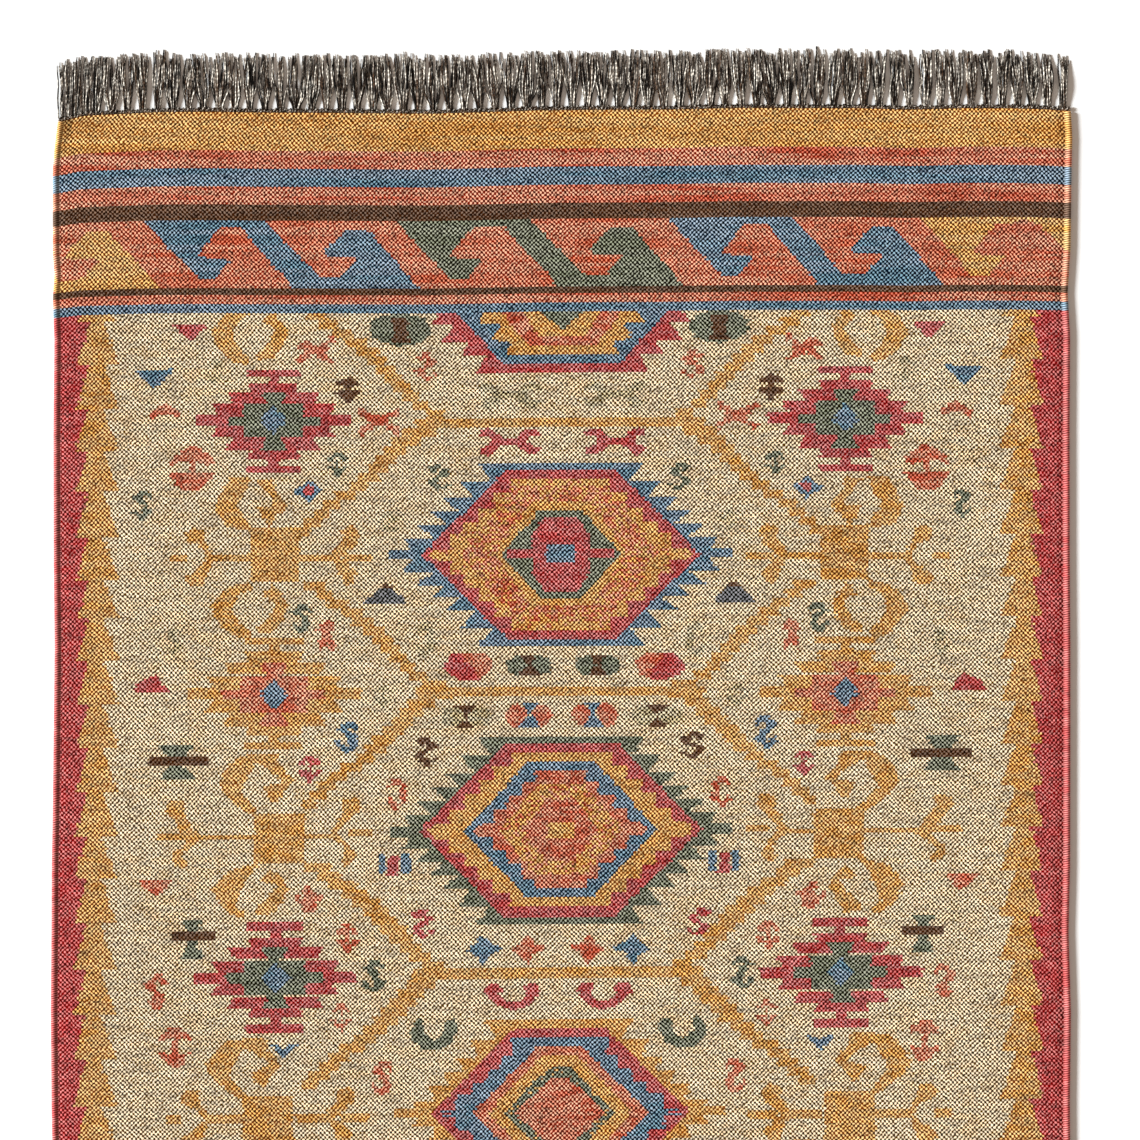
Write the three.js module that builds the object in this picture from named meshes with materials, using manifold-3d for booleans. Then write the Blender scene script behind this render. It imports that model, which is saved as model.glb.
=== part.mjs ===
// A flat-woven kilim rug lying on a floor, 5 ft by 8 ft, in millimetres.
// X runs across the rug, Y along its length and Z up from the floor.
// The cloth is one thick sheet with a rounded selvedge bead down each long edge.
// At each end a narrow twined heading holds the warp ends, which fall in tassels.

import * as THREE from 'three';
import { mergeVertices } from 'three/addons/utils/BufferGeometryUtils.js';
import Module from 'manifold-3d';

const wasm = await Module();
wasm.setup();

// Cloth
const CLOTH_LENGTH = 2438;
const CLOTH_HALF_WIDTH = 762;
const CLOTH_THICKNESS = 6;
const ROW_COUNT = 44;
const ROW_SHIFT = 9;
const END_ROUNDING = 3;
const END_THICKNESS_SHARE = 0.72;
const SWELL = 0.35;
const EDGE_DECAY = 420;

// Heading and fringe
const HEADING_GAP = 0.32;
const HEADING_WIDTH = 7;
const TASSEL_COUNT = 66;
const LOCKS_PER_TASSEL = 2;
const LOCK_ROOT_START = 3.5;
const LOCK_ROOT_OFFSET = 3.3;
const LOCK_BEND_SHARE = 0.42;
const LOCK_LENGTH = 77;
const LOCK_THICKNESS = 4.2;
const LOCK_TIP_THICKNESS = 3;
const LOCK_TOP_SHARE = 0.56;
const LOCK_ROOT_WIDTH = 5.2;
const LOCK_MIDDLE_WIDTH = 10;
const LOCK_TIP_WIDTH = 10.4;
const LOCK_CLEARANCE = 1.3;

// Selvedge section, from the long edge inward. inset is the distance in from the edge,
// height is above the floor.
const SELVEDGE = [
  { inset: 0, height: 2.8 },
  { inset: 0.6, height: 5.4 },
  { inset: 2.6, height: 7.2 },
  { inset: 5, height: 7.5 },
  { inset: 7.4, height: 6.6 },
  { inset: 9.4, height: 4.9 },
  { inset: 12, height: 5.9 },
];
const UNDERSIDE_INSET = 2;

// Section of the heading, from the cloth's edge outward.
const HEADING = [
  { out: HEADING_GAP, height: 0 },
  { out: HEADING_GAP, height: 3.4 },
  { out: HEADING_GAP + 1.6, height: 4.8 },
  { out: HEADING_WIDTH - 1.8, height: 4.8 },
  { out: HEADING_WIDTH, height: 3.2 },
  { out: HEADING_WIDTH, height: 0 },
];

// End edges. across is the station from the centre line, far and near are how far the
// cloth reaches past its nominal length there, at the +Y end and at the -Y end.
const END_EDGE = [
  { across: -762, far: -17, near: -2 },
  { across: -735, far: -11.5, near: -1 },
  { across: -725, far: -8.2, near: -0.6 },
  { across: -700, far: -6.6, near: 0.2 },
  { across: -660, far: -4.8, near: 0.9 },
  { across: -600, far: -2, near: 1.4 },
  { across: -520, far: -1.8, near: 1.8 },
  { across: -440, far: -3.2, near: 1.2 },
  { across: -360, far: -3.4, near: 0.4 },
  { across: -280, far: -4.2, near: -0.3 },
  { across: -200, far: -4.8, near: -0.8 },
  { across: -120, far: -2.4, near: -0.4 },
  { across: -40, far: 0.4, near: 0.5 },
  { across: 60, far: 1.2, near: 1.3 },
  { across: 160, far: 1.5, near: 1.6 },
  { across: 260, far: 4, near: 1 },
  { across: 360, far: 3.6, near: 0.1 },
  { across: 440, far: 3.6, near: -0.6 },
  { across: 520, far: 1.2, near: -1 },
  { across: 600, far: 3.5, near: -0.5 },
  { across: 680, far: 3.2, near: 0.3 },
  { across: 730, far: 1.6, near: 0.2 },
  { across: 762, far: -1, near: -1.2 },
];

// Long edges. down is the distance from the +Y end, left and right are how far each
// edge stands to +X of its nominal line.
const LONG_EDGE = [
  { down: 0, left: 6.5, right: 1 },
  { down: 39, left: 1.8, right: 3.2 },
  { down: 75, left: -1.2, right: 2.4 },
  { down: 204, left: -1, right: 0.6 },
  { down: 238, left: 1.6, right: -1.4 },
  { down: 271, left: -1, right: -3.8 },
  { down: 336, left: 1.4, right: 0 },
  { down: 480, left: 0, right: -0.8 },
  { down: 670, left: 0.4, right: -0.6 },
  { down: 800, left: 1.8, right: 0.4 },
  { down: 930, left: 0.4, right: 0.4 },
  { down: 1060, left: -1.2, right: 0.2 },
  { down: 1130, left: -2.6, right: 0 },
  { down: 1230, left: -3, right: -2.4 },
  { down: 1350, left: -4, right: 1.2 },
  { down: 1490, left: -2.8, right: -0.4 },
  { down: 1600, left: -0.8, right: 0.6 },
  { down: 1800, left: 0.6, right: -0.6 },
  { down: 2050, left: -0.8, right: -1.4 },
  { down: 2250, left: 0.6, right: 0.4 },
  { down: 2438, left: 1.4, right: -1.2 },
];

// Tassels that stand out from the even run of the far fringe. index counts from -X,
// lean is how far the tip stands to +X of an even run, extra is added to the length.
const ODD_TASSELS = [
  { index: 0, lean: -1, extra: 2 },
  { index: 1, lean: -1.5, extra: 1 },
  { index: 3, lean: 2, extra: -2 },
  { index: 6, lean: 3, extra: 4 },
  { index: 8, lean: 2.5, extra: -5 },
  { index: 22, lean: -2, extra: 3 },
  { index: 37, lean: 2, extra: 1 },
  { index: 49, lean: 2.5, extra: 3 },
  { index: 58, lean: 3, extra: -1 },
  { index: 62, lean: -1, extra: -1 },
  { index: 63, lean: -2, extra: -4 },
  { index: 64, lean: -2.4, extra: -6 },
  { index: 65, lean: 3.5, extra: -3 },
];

/** Value of a column of a table at one station, straight between its rows. */
function readTable(rows, stationName, valueName, station) {
  const last = rows.length - 1;
  if (station <= rows[0][stationName]) {
    return rows[0][valueName];
  }
  if (station >= rows[last][stationName]) {
    return rows[last][valueName];
  }
  const next = rows.findIndex((row) => row[stationName] >= station);
  const before = rows[next - 1];
  const after = rows[next];
  const share = (station - before[stationName]) / (after[stationName] - before[stationName]);
  return before[valueName] + share * (after[valueName] - before[valueName]);
}

/** Where one point of the cloth's plan lies: across and along are nominal stations. */
function planPoint(across, along) {
  const fromFar = CLOTH_LENGTH / 2 - along;
  const fromNear = CLOTH_LENGTH / 2 + along;
  const left = readTable(LONG_EDGE, 'down', 'left', fromFar);
  const right = readTable(LONG_EDGE, 'down', 'right', fromFar);
  const share = (across + CLOTH_HALF_WIDTH) / (2 * CLOTH_HALF_WIDTH);
  const far = readTable(END_EDGE, 'across', 'far', across);
  const near = readTable(END_EDGE, 'across', 'near', across);
  const x = across + left + share * (right - left);
  const y = along + far * Math.exp(-fromFar / EDGE_DECAY) - near * Math.exp(-fromNear / EDGE_DECAY);
  return { x, y };
}

/** Gentle rise and fall of the cloth's upper face, nothing at the selvedges. */
function swellAt(across, along) {
  const inside = 1 - (across / CLOTH_HALF_WIDTH) ** 8;
  const long = Math.sin(along / 173 + across / 410);
  const cross = Math.sin(across / 139 - along / 520);
  return SWELL * inside * (0.6 * long + 0.4 * cross);
}

/** Stations of the upper face across the rug, each with its nominal height. */
function upperStations() {
  const left = SELVEDGE.map((point) => ({
    across: -CLOTH_HALF_WIDTH + point.inset,
    height: point.height,
    interior: false,
  }));
  const right = SELVEDGE.map((point) => ({
    across: CLOTH_HALF_WIDTH - point.inset,
    height: point.height,
    interior: false,
  })).reverse();
  const middle = END_EDGE.slice(1, -1).map((row) => ({
    across: row.across,
    height: CLOTH_THICKNESS,
    interior: true,
  }));
  return [...left, ...middle, ...right];
}

/** Rows of the cloth along its length, each with its share of the full thickness. */
function lengthRows() {
  const half = CLOTH_LENGTH / 2;
  const rows = [{ along: -half, share: END_THICKNESS_SHARE }];
  for (let i = 0; i <= ROW_COUNT; i += 1) {
    const even = -half + END_ROUNDING + (i / ROW_COUNT) * (CLOTH_LENGTH - 2 * END_ROUNDING);
    const inner = i > 0 && i < ROW_COUNT;
    rows.push({ along: even + (inner ? ROW_SHIFT : 0), share: 1 });
  }
  rows.push({ along: half, share: END_THICKNESS_SHARE });
  return rows;
}

/** Triangles between two runs of vertices that both go to +X, by nearest next vertex. */
function zip(points, lower, upper) {
  const triangles = [];
  let i = 0;
  let j = 0;
  while (i + 1 < lower.length || j + 1 < upper.length) {
    const nextLower = i + 1 < lower.length ? points[lower[i + 1]].x : Infinity;
    const nextUpper = j + 1 < upper.length ? points[upper[j + 1]].x : Infinity;
    if (nextUpper <= nextLower) {
      triangles.push(lower[i], upper[j], upper[j + 1]);
      j += 1;
    } else {
      triangles.push(lower[i], upper[j], lower[i + 1]);
      i += 1;
    }
  }
  return triangles;
}

/** The cloth: a grid for its upper face, edge walls, and one flat underside. */
function clothGeometry() {
  const rows = lengthRows();
  const stations = upperStations();
  const points = [];
  const index = [];
  const add = (x, y, z) => points.push(new THREE.Vector3(x, y, z)) - 1;
  const grid = rows.map((row) =>
    stations.map((station) => {
      const plan = planPoint(station.across, row.along);
      const swell = station.interior ? swellAt(station.across, row.along) : 0;
      return add(plan.x, plan.y, (station.height + swell) * row.share);
    }),
  );
  const underside = CLOTH_HALF_WIDTH - UNDERSIDE_INSET;
  const footLine = (across) =>
    rows.map((row) => {
      const plan = planPoint(across, row.along);
      return add(plan.x, plan.y, 0);
    });
  const leftFoot = footLine(-underside);
  const rightFoot = footLine(underside);
  const footed = stations.map((station, k) => ({ station, k }));
  const inner = footed.filter(({ station }) => Math.abs(station.across) < underside);
  const endFoot = (r) => {
    const between = inner.map(({ k }) => {
      const top = points[grid[r][k]];
      return add(top.x, top.y, 0);
    });
    return [leftFoot[r], ...between, rightFoot[r]];
  };
  const last = rows.length - 1;
  const nearFoot = endFoot(0);
  const farFoot = endFoot(last);
  for (let r = 0; r < last; r += 1) {
    for (let k = 0; k + 1 < stations.length; k += 1) {
      const a = grid[r][k];
      const b = grid[r][k + 1];
      const c = grid[r + 1][k];
      const d = grid[r + 1][k + 1];
      index.push(a, b, d);
      index.push(a, d, c);
    }
    const outer = stations.length - 1;
    index.push(leftFoot[r], grid[r][0], grid[r + 1][0]);
    index.push(leftFoot[r], grid[r + 1][0], leftFoot[r + 1]);
    index.push(rightFoot[r], grid[r + 1][outer], grid[r][outer]);
    index.push(rightFoot[r], rightFoot[r + 1], grid[r + 1][outer]);
  }
  const nearWall = zip(points, nearFoot, grid[0]);
  const farWall = zip(points, farFoot, grid[last]);
  for (let i = 0; i < nearWall.length; i += 3) {
    index.push(nearWall[i], nearWall[i + 2], nearWall[i + 1]);
    index.push(farWall[i], farWall[i + 1], farWall[i + 2]);
  }
  const right = rightFoot.slice(1, -1);
  const left = leftFoot.slice(1, -1).reverse();
  const outline = [...nearFoot, ...right, ...farFoot.slice().reverse(), ...left];
  const flat = outline.map((i) => new THREE.Vector2(points[i].x, points[i].y));
  for (const [a, b, c] of THREE.ShapeUtils.triangulateShape(flat, [])) {
    index.push(outline[a], outline[c], outline[b]);
  }
  const geometry = new THREE.BufferGeometry();
  geometry.setFromPoints(points);
  geometry.setIndex(index);
  return signedVolume(geometry) < 0 ? turnedOver(geometry) : geometry;
}

/** Closed mesh through a run of rings that all have the same number of points. */
function loft(rings) {
  const size = rings[0].length;
  const position = rings.flatMap((ring) => ring.flatMap((point) => [point.x, point.y, point.z]));
  const index = [];
  for (let r = 0; r + 1 < rings.length; r += 1) {
    for (let k = 0; k < size; k += 1) {
      const a = r * size + k;
      const b = r * size + ((k + 1) % size);
      const c = a + size;
      const d = b + size;
      index.push(a, b, d);
      index.push(a, d, c);
    }
  }
  const section = rings[0].map((point) => new THREE.Vector2(point.x, point.z));
  const caps = THREE.ShapeUtils.triangulateShape(section, []);
  const end = (rings.length - 1) * size;
  for (const [a, b, c] of caps) {
    index.push(a, b, c);
    index.push(end + c, end + b, end + a);
  }
  const geometry = new THREE.BufferGeometry();
  geometry.setAttribute('position', new THREE.Float32BufferAttribute(position, 3));
  geometry.setIndex(index);
  return geometry;
}

/** The same mesh with every triangle turned over. */
function turnedOver(geometry) {
  const index = Array.from(geometry.getIndex().array);
  for (let i = 0; i < index.length; i += 3) {
    [index[i + 1], index[i + 2]] = [index[i + 2], index[i + 1]];
  }
  geometry.setIndex(index);
  return geometry;
}

/** Signed volume of a closed mesh, positive when its triangles face outward. */
function signedVolume(geometry) {
  const position = geometry.getAttribute('position');
  const index = geometry.getIndex();
  const a = new THREE.Vector3();
  const b = new THREE.Vector3();
  const c = new THREE.Vector3();
  let total = 0;
  for (let i = 0; i < index.count; i += 3) {
    a.fromBufferAttribute(position, index.getX(i));
    b.fromBufferAttribute(position, index.getX(i + 1));
    c.fromBufferAttribute(position, index.getX(i + 2));
    total += a.dot(b.cross(c)) / 6;
  }
  return total;
}

/** A lofted mesh whose triangles face outward. */
function outwardLoft(rings) {
  const geometry = loft(rings);
  return signedVolume(geometry) < 0 ? turnedOver(geometry) : geometry;
}

/** Closed mesh as a solid that can be joined to others. */
function toSolid(geometry) {
  const clean = geometry.clone();
  clean.deleteAttribute('normal');
  clean.deleteAttribute('uv');
  const merged = mergeVertices(clean);
  const mesh = new wasm.Mesh({
    numProp: 3,
    vertProperties: new Float32Array(merged.getAttribute('position').array),
    triVerts: new Uint32Array(merged.getIndex().array),
  });
  return new wasm.Manifold(mesh);
}

/** Solid as a geometry of indexed triangles. */
function toGeometry(solid) {
  const mesh = solid.getMesh();
  const geometry = new THREE.BufferGeometry();
  geometry.setAttribute('position', new THREE.BufferAttribute(mesh.vertProperties, 3));
  geometry.setIndex(new THREE.BufferAttribute(mesh.triVerts, 1));
  return geometry;
}

/** Repeatable number between -1 and 1 for a lock or tassel. */
function wobble(number, seed) {
  const value = Math.sin(number * 12.9898 + seed * 78.233) * 43758.5453;
  return 2 * (value - Math.floor(value)) - 1;
}

/** Reach of the cloth at one end: side is 1 at the far end and -1 at the near end. */
function endPoint(across, side) {
  return planPoint(across, (side * CLOTH_LENGTH) / 2);
}

/** Twined heading of one end, a low rounded bar that follows the cloth's edge. */
function headingMesh(side) {
  const rings = upperStations().map((station) => {
    const plan = endPoint(station.across, side);
    return HEADING.map((point) => new THREE.Vector3(plan.x, plan.y + side * point.out, point.height));
  });
  const size = rings[0].length;
  const position = rings.flatMap((ring) => ring.flatMap((point) => [point.x, point.y, point.z]));
  const index = [];
  for (let r = 0; r + 1 < rings.length; r += 1) {
    for (let k = 0; k < size; k += 1) {
      const a = r * size + k;
      const b = r * size + ((k + 1) % size);
      index.push(a, b, b + size);
      index.push(a, b + size, a + size);
    }
  }
  const end = (rings.length - 1) * size;
  for (let k = 1; k + 1 < size; k += 1) {
    index.push(0, k + 1, k);
    index.push(end, end + k, end + k + 1);
  }
  const geometry = new THREE.BufferGeometry();
  geometry.setAttribute('position', new THREE.Float32BufferAttribute(position, 3));
  geometry.setIndex(index);
  return signedVolume(geometry) < 0 ? turnedOver(geometry) : geometry;
}

/** Plan of every lock of one fringe: centre and width at its root, middle and tip. */
function lockPlans(side) {
  const pitch = (2 * CLOTH_HALF_WIDTH) / TASSEL_COUNT;
  const plans = [];
  for (let tassel = 0; tassel < TASSEL_COUNT; tassel += 1) {
    const seed = side > 0 ? 1 : 5;
    const odd = side > 0 ? ODD_TASSELS.find((row) => row.index === tassel) : undefined;
    const centre = -CLOTH_HALF_WIDTH + (tassel + 0.5) * pitch;
    const lean = 1.6 * wobble(tassel, seed) + (odd ? odd.lean : 0);
    for (let lock = 0; lock < LOCKS_PER_TASSEL; lock += 1) {
      const number = tassel * LOCKS_PER_TASSEL + lock;
      const hand = lock === 0 ? -1 : 1;
      const length = LOCK_LENGTH + 3.2 * wobble(number, seed + 1) + (odd ? odd.extra : 0);
      const spread = pitch / 4 + 0.5 * wobble(number, seed + 2);
      plans.push({
        root: centre + hand * LOCK_ROOT_OFFSET,
        middle: centre + hand * (spread * 0.92) + lean * 0.45,
        tip: centre + hand * spread + lean,
        length,
      });
    }
  }
  return plans;
}

/** Half widths of the locks at one height, so that neighbours stand apart. */
function halfWidths(plans, level, widest) {
  return plans.map((plan, i) => {
    const before = i > 0 ? plan[level] - plans[i - 1][level] : 99;
    const after = i + 1 < plans.length ? plans[i + 1][level] - plan[level] : 99;
    const room = Math.min(before, after) - LOCK_CLEARANCE;
    return Math.min(widest, room) / 2;
  });
}

/** One four-sided lock, flat on the floor, from inside the heading to its tip. */
function lockMesh(plan, halves, side) {
  const nominal = Math.max(-CLOTH_HALF_WIDTH, Math.min(CLOTH_HALF_WIDTH, plan.root));
  const foot = endPoint(nominal, side);
  const shift = foot.x - nominal;
  const bend = HEADING_WIDTH + plan.length * LOCK_BEND_SHARE;
  const tip = HEADING_WIDTH + plan.length;
  const levels = [
    { x: plan.root, out: LOCK_ROOT_START, half: halves.root, height: LOCK_THICKNESS - 0.4 },
    { x: plan.middle, out: bend, half: halves.middle, height: LOCK_THICKNESS },
    { x: plan.tip, out: tip, half: halves.tip, height: LOCK_TIP_THICKNESS },
  ];
  const rings = levels.map((level) => {
    const y = foot.y + side * level.out;
    const x = level.x + shift;
    return [
      new THREE.Vector3(x - level.half, y, 0),
      new THREE.Vector3(x - level.half * LOCK_TOP_SHARE, y, level.height),
      new THREE.Vector3(x + level.half * LOCK_TOP_SHARE, y, level.height),
      new THREE.Vector3(x + level.half, y, 0),
    ];
  });
  return outwardLoft(rings);
}

/** Heading and tassels of one end as one solid. */
function fringeGeometry(side) {
  const plans = lockPlans(side);
  const roots = halfWidths(plans, 'root', LOCK_ROOT_WIDTH);
  const middles = halfWidths(plans, 'middle', LOCK_MIDDLE_WIDTH);
  const tips = halfWidths(plans, 'tip', LOCK_TIP_WIDTH);
  const locks = plans.map((plan, i) => {
    const halves = { root: roots[i], middle: middles[i], tip: tips[i] };
    return toSolid(lockMesh(plan, halves, side));
  });
  const joined = wasm.Manifold.union([toSolid(headingMesh(side)), ...locks]);
  return toGeometry(joined);
}

/** Named mesh with its own material. */
function named(name, geometry, colour) {
  const material = new THREE.MeshStandardMaterial({ color: colour, roughness: 0.95 });
  const mesh = new THREE.Mesh(geometry, material);
  mesh.name = name;
  return mesh;
}

const rug = new THREE.Group();
rug.name = 'kilim_rug';
rug.add(named('woven_cloth', clothGeometry(), 0xc9a97a));
rug.add(named('fringe_far', fringeGeometry(1), 0x4a423d));
rug.add(named('fringe_near', fringeGeometry(-1), 0x4a423d));

export default rug;
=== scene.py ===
import logging
from dataclasses import dataclass, field
from enum import Enum, IntEnum

import bpy
import numpy as np
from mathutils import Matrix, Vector


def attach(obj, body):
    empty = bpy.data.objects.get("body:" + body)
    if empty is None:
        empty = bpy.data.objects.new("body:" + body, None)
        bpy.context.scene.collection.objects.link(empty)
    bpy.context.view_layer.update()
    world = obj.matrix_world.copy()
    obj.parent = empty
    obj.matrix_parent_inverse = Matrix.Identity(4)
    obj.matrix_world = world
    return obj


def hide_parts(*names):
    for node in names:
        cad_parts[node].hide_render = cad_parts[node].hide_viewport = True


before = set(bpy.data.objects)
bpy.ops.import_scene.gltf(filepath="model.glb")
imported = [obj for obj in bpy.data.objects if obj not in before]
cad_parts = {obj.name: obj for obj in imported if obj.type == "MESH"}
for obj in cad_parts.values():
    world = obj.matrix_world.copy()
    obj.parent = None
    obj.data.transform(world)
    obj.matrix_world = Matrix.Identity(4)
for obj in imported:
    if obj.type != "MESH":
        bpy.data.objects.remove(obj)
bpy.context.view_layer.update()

# A flat-woven kilim rug lying on a floor, seen from straight above. Lengths are millimetres
# until a mesh is made, and +Y is the end that the camera sees. The chart of the pattern is in
# chart units of 1.5 mm, with x to the right and y down from the far end.

LOG = logging.getLogger("kilim")
ROOT = "root"
MM = 0.001

# The chart's unit in millimetres, the cloth's middle and far end on it, the line between the
# left half's figures and their twins, and where the field starts.
CHART_UNIT = 1.5
CHART_CENTRE_X = 561.8
CHART_TOP_Y = 111.0
CHART_MIRROR_X = 559.5
FIELD_TOP_Y = 311.5

# One face of the cloth holds a few crossings, coded as a number with one digit for each dye.
CODE_BASE = 16

# The seeds of the loom's random streaks and frayed edges, how much of a crossing's streak its
# neighbour takes, and how many crossings are frayed.
STREAK_SEED, FRAY_SEED = 5, 9
STREAK_TAIL = 0.55
FRAYED_SHARE = 0.12

Points = list[tuple[float, float]]


class Dye(IntEnum):
    """The yarn colours of the cloth, in the order of the shader's colour ramps."""

    CREAM = 0
    MUSTARD = 1
    CORAL = 2
    CRIMSON = 3
    BLUE = 4
    GREEN = 5
    BROWN = 6
    PLUM = 7
    OLIVE = 8
    RED = 9
    APRICOT = 10
    HONEY = 11


class End(Enum):
    """The two ends of the cloth, by the sign of the side that they face."""

    FAR = 1
    NEAR = -1


@dataclass(frozen=True)
class Yarn:
    """What one dye looks like in the weave, as display colours from 0 to 255.

    Attributes:
        bead: the crown of a weft bead in the light
        gap: the shadowed hollow beside a warp
        drift: the bead colour of the streaks where the dye lot changes
    """

    bead: tuple[int, int, int]
    gap: tuple[int, int, int]
    drift: tuple[int, int, int]


# Each dye's gap colour is painted shade for the weave's hollows, and its bead colour the lit crown.
YARNS = {
    Dye.CREAM: Yarn((248, 230, 198), (57, 34, 0), (245, 217, 176)),
    Dye.MUSTARD: Yarn((244, 202, 135), (93, 41, 0), (238, 181, 105)),
    Dye.CORAL: Yarn((243, 185, 154), (91, 13, 0), (210, 109, 85)),
    Dye.CRIMSON: Yarn((219, 141, 139), (87, 0, 0), (205, 100, 98)),
    Dye.BLUE: Yarn((163, 182, 199), (0, 13, 29), (119, 155, 172)),
    Dye.GREEN: Yarn((166, 169, 150), (13, 11, 0), (142, 148, 126)),
    Dye.BROWN: Yarn((131, 108, 93), (41, 15, 0), (112, 86, 67)),
    Dye.PLUM: Yarn((150, 150, 152), (12, 11, 8), (130, 130, 137)),
    Dye.OLIVE: Yarn((222, 211, 180), (38, 22, 0), (211, 194, 152)),
    Dye.RED: Yarn((219, 132, 129), (93, 0, 0), (202, 98, 98)),
    Dye.APRICOT: Yarn((243, 183, 151), (95, 14, 0), (214, 120, 90)),
    Dye.HONEY: Yarn((245, 206, 143), (84, 34, 0), (238, 183, 104)),
}


def linear(colour: tuple[float, float, float]) -> tuple[float, float, float, float]:
    """Turns a display colour into the linear one that a shader takes.

    Args:
        colour: red, green and blue, from 0 to 255
    Returns:
        The same colour as linear light, with an alpha of 1.
    """
    share = np.asarray(colour, float) / 255.0
    light = np.where(share <= 0.04045, share / 12.92, ((share + 0.055) / 1.055) ** 2.4)
    return (float(light[0]), float(light[1]), float(light[2]), 1.0)


def smooth(value: np.ndarray) -> np.ndarray:
    """The smooth step 3t² − 2t³ of a value held between 0 and 1."""
    held = np.clip(value, 0.0, 1.0)
    return held * held * (3.0 - 2.0 * held)


def block(left: float, right: float, top: float, bottom: float) -> Points:
    """The outline of an upright block."""
    return [(left, top), (right, top), (right, bottom), (left, bottom)]


@dataclass(frozen=True)
class ClothPlan:
    """The outline and thickness of the rug as it lies, the same as the solids have.

    In each table the first row is the place and the others are the values there, all in
    millimetres. The outline is a plain rectangle whose edges are moved by such tables.

    Attributes:
        length: from end to end, without the fringes
        half_width: from the middle to a long edge
        thickness: the height of the flat cloth
        warps: how many warps run along the cloth
        wefts: how many rows of weft the pattern has
        warps_a_face: how many warps one face of the mesh covers
        wefts_a_face: how many rows of weft it covers
        end_rounding: how far from an end the top rounds over
        end_share: the share of the height that is left right at the end
        underside_inset: how far the underside's rim is drawn in
        swell: how high the cloth's long low waves are
        swells: the two waves, each as its share, its length along and its length across
        edge_decay: how far from an end its edge's offsets fade
        selvedge: distances in from a long edge, and the heights there
        end_edge: distances across, and the offsets outwards of the far and the near end
        long_edge: distances from the far end, and the offsets of the left and right edge
        weft_drift: distances from the far end, and how much a weft rises to the right there
    """

    length: float = 2438.0
    half_width: float = 762.0
    thickness: float = 6.0
    warps: int = 464
    wefts: int = 720
    warps_a_face: int = 6
    wefts_a_face: int = 3
    end_rounding: float = 3.0
    end_share: float = 0.72
    underside_inset: float = 2.0
    swell: float = 0.35
    swells: tuple = ((0.6, 173, 410), (0.4, -520, 139))
    edge_decay: float = 420.0
    selvedge: tuple = ((0, 0.6, 2.6, 5, 7.4, 9.4, 12), (2.8, 5.4, 7.2, 7.5, 6.6, 4.9, 5.9))
    end_edge: tuple = (
        (-762, -735, -725, -700, -660, -600, -520, -440, -360, -280, -200, -120,
         -40, 60, 160, 260, 360, 440, 520, 600, 680, 730, 762),
        (-17, -11.5, -8.2, -6.6, -4.8, -2, -1.8, -3.2, -3.4, -4.2, -4.8, -2.4,
         0.4, 1.2, 1.5, 4, 3.6, 3.6, 1.2, 3.5, 3.2, 1.6, -1),
        (-2, -1, -0.6, 0.2, 0.9, 1.4, 1.8, 1.2, 0.4, -0.3, -0.8, -0.4,
         0.5, 1.3, 1.6, 1, 0.1, -0.6, -1, -0.5, 0.3, 0.2, -1.2),
    )
    long_edge: tuple = (
        (0, 39, 75, 204, 238, 271, 336, 480, 670, 800, 930, 1060, 1130, 1230, 1350,
         1490, 1600, 1800, 2050, 2250, 2438),
        (6.5, 1.8, -1.2, -1, 1.6, -1, 1.4, 0, 0.4, 1.8, 0.4, -1.2, -2.6, -3, -4,
         -2.8, -0.8, 0.6, -0.8, 0.6, 1.4),
        (1, 3.2, 2.4, 0.6, -1.4, -3.8, 0, -0.8, -0.6, 0.4, 0.4, 0.2, 0, -2.4, 1.2,
         -0.4, 0.6, -0.6, -1.4, 0.4, -1.2),
    )
    weft_drift: tuple = (
        (0, 280, 380, 510, 570, 635, 700, 760, 825, 885, 950, 1015, 1080, 1145, 1215,
         1280, 1350, 1430, 1540, 1780, 2080, 2438),
        (0, 1.5, 2.7, 1.0, 0, 2.1, 2.1, 0.9, 0.8, 2.1, 3.0, 5.1, 8.1, 6.0, 5.2,
         7.5, 7.5, 6.8, 6.0, 3.0, 0.9, 0),
    )

    def plan_point(self, across: np.ndarray, along: np.ndarray) -> tuple[np.ndarray, np.ndarray]:
        """Moves points of the plain rectangle to where they lie on the floor.

        A point moves sideways by the two long edges' offsets, shared by its distance from
        each, and along the rug by the end edges' offsets, which fade with distance.

        Args:
            across: distances to the right of the middle
            along: distances towards the far end from the middle
        Returns:
            The x and y of the points.
        """
        from_far = self.length / 2 - along
        from_near = self.length / 2 + along
        down, left, right = self.long_edge
        share = (across + self.half_width) / (2 * self.half_width)
        at_left = np.interp(from_far, down, left)
        at_right = np.interp(from_far, down, right)
        place, far, near = self.end_edge
        x = across + at_left + share * (at_right - at_left)
        y = (along + np.interp(across, place, far) * np.exp(-from_far / self.edge_decay)
             - np.interp(across, place, near) * np.exp(-from_near / self.edge_decay))
        return x, y

    def end_line(self, across: np.ndarray, end: End) -> tuple[np.ndarray, np.ndarray]:
        """The x and y of one end of the cloth at these distances across."""
        across = np.clip(across, -self.half_width, self.half_width)
        return self.plan_point(across, np.full_like(across, end.value * self.length / 2))

    def height(self, across: np.ndarray, along: np.ndarray) -> np.ndarray:
        """The top of the cloth over points of the plain rectangle.

        The selvedge's profile rises at the long edges, the flat cloth swells and sinks in
        long low waves, and the ends round over in a quarter circle.

        Args:
            across: distances to the right of the middle
            along: distances towards the far end from the middle
        Returns:
            The heights above the floor.
        """
        inset = self.half_width - np.abs(across)
        edge = np.interp(inset, self.selvedge[0], self.selvedge[1], right=self.thickness)
        wave = sum(share * np.sin(along / down + across / over)
                   for share, down, over in self.swells)
        top = edge + self.swell * (1 - (np.abs(across) / self.half_width) ** 8) * wave
        from_end = np.clip((self.length / 2 - np.abs(along)) / self.end_rounding, 0.0, 1.0)
        round_over = np.sqrt(1.0 - (1.0 - from_end) ** 2)
        return top * (self.end_share + (1 - self.end_share) * round_over)


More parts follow.
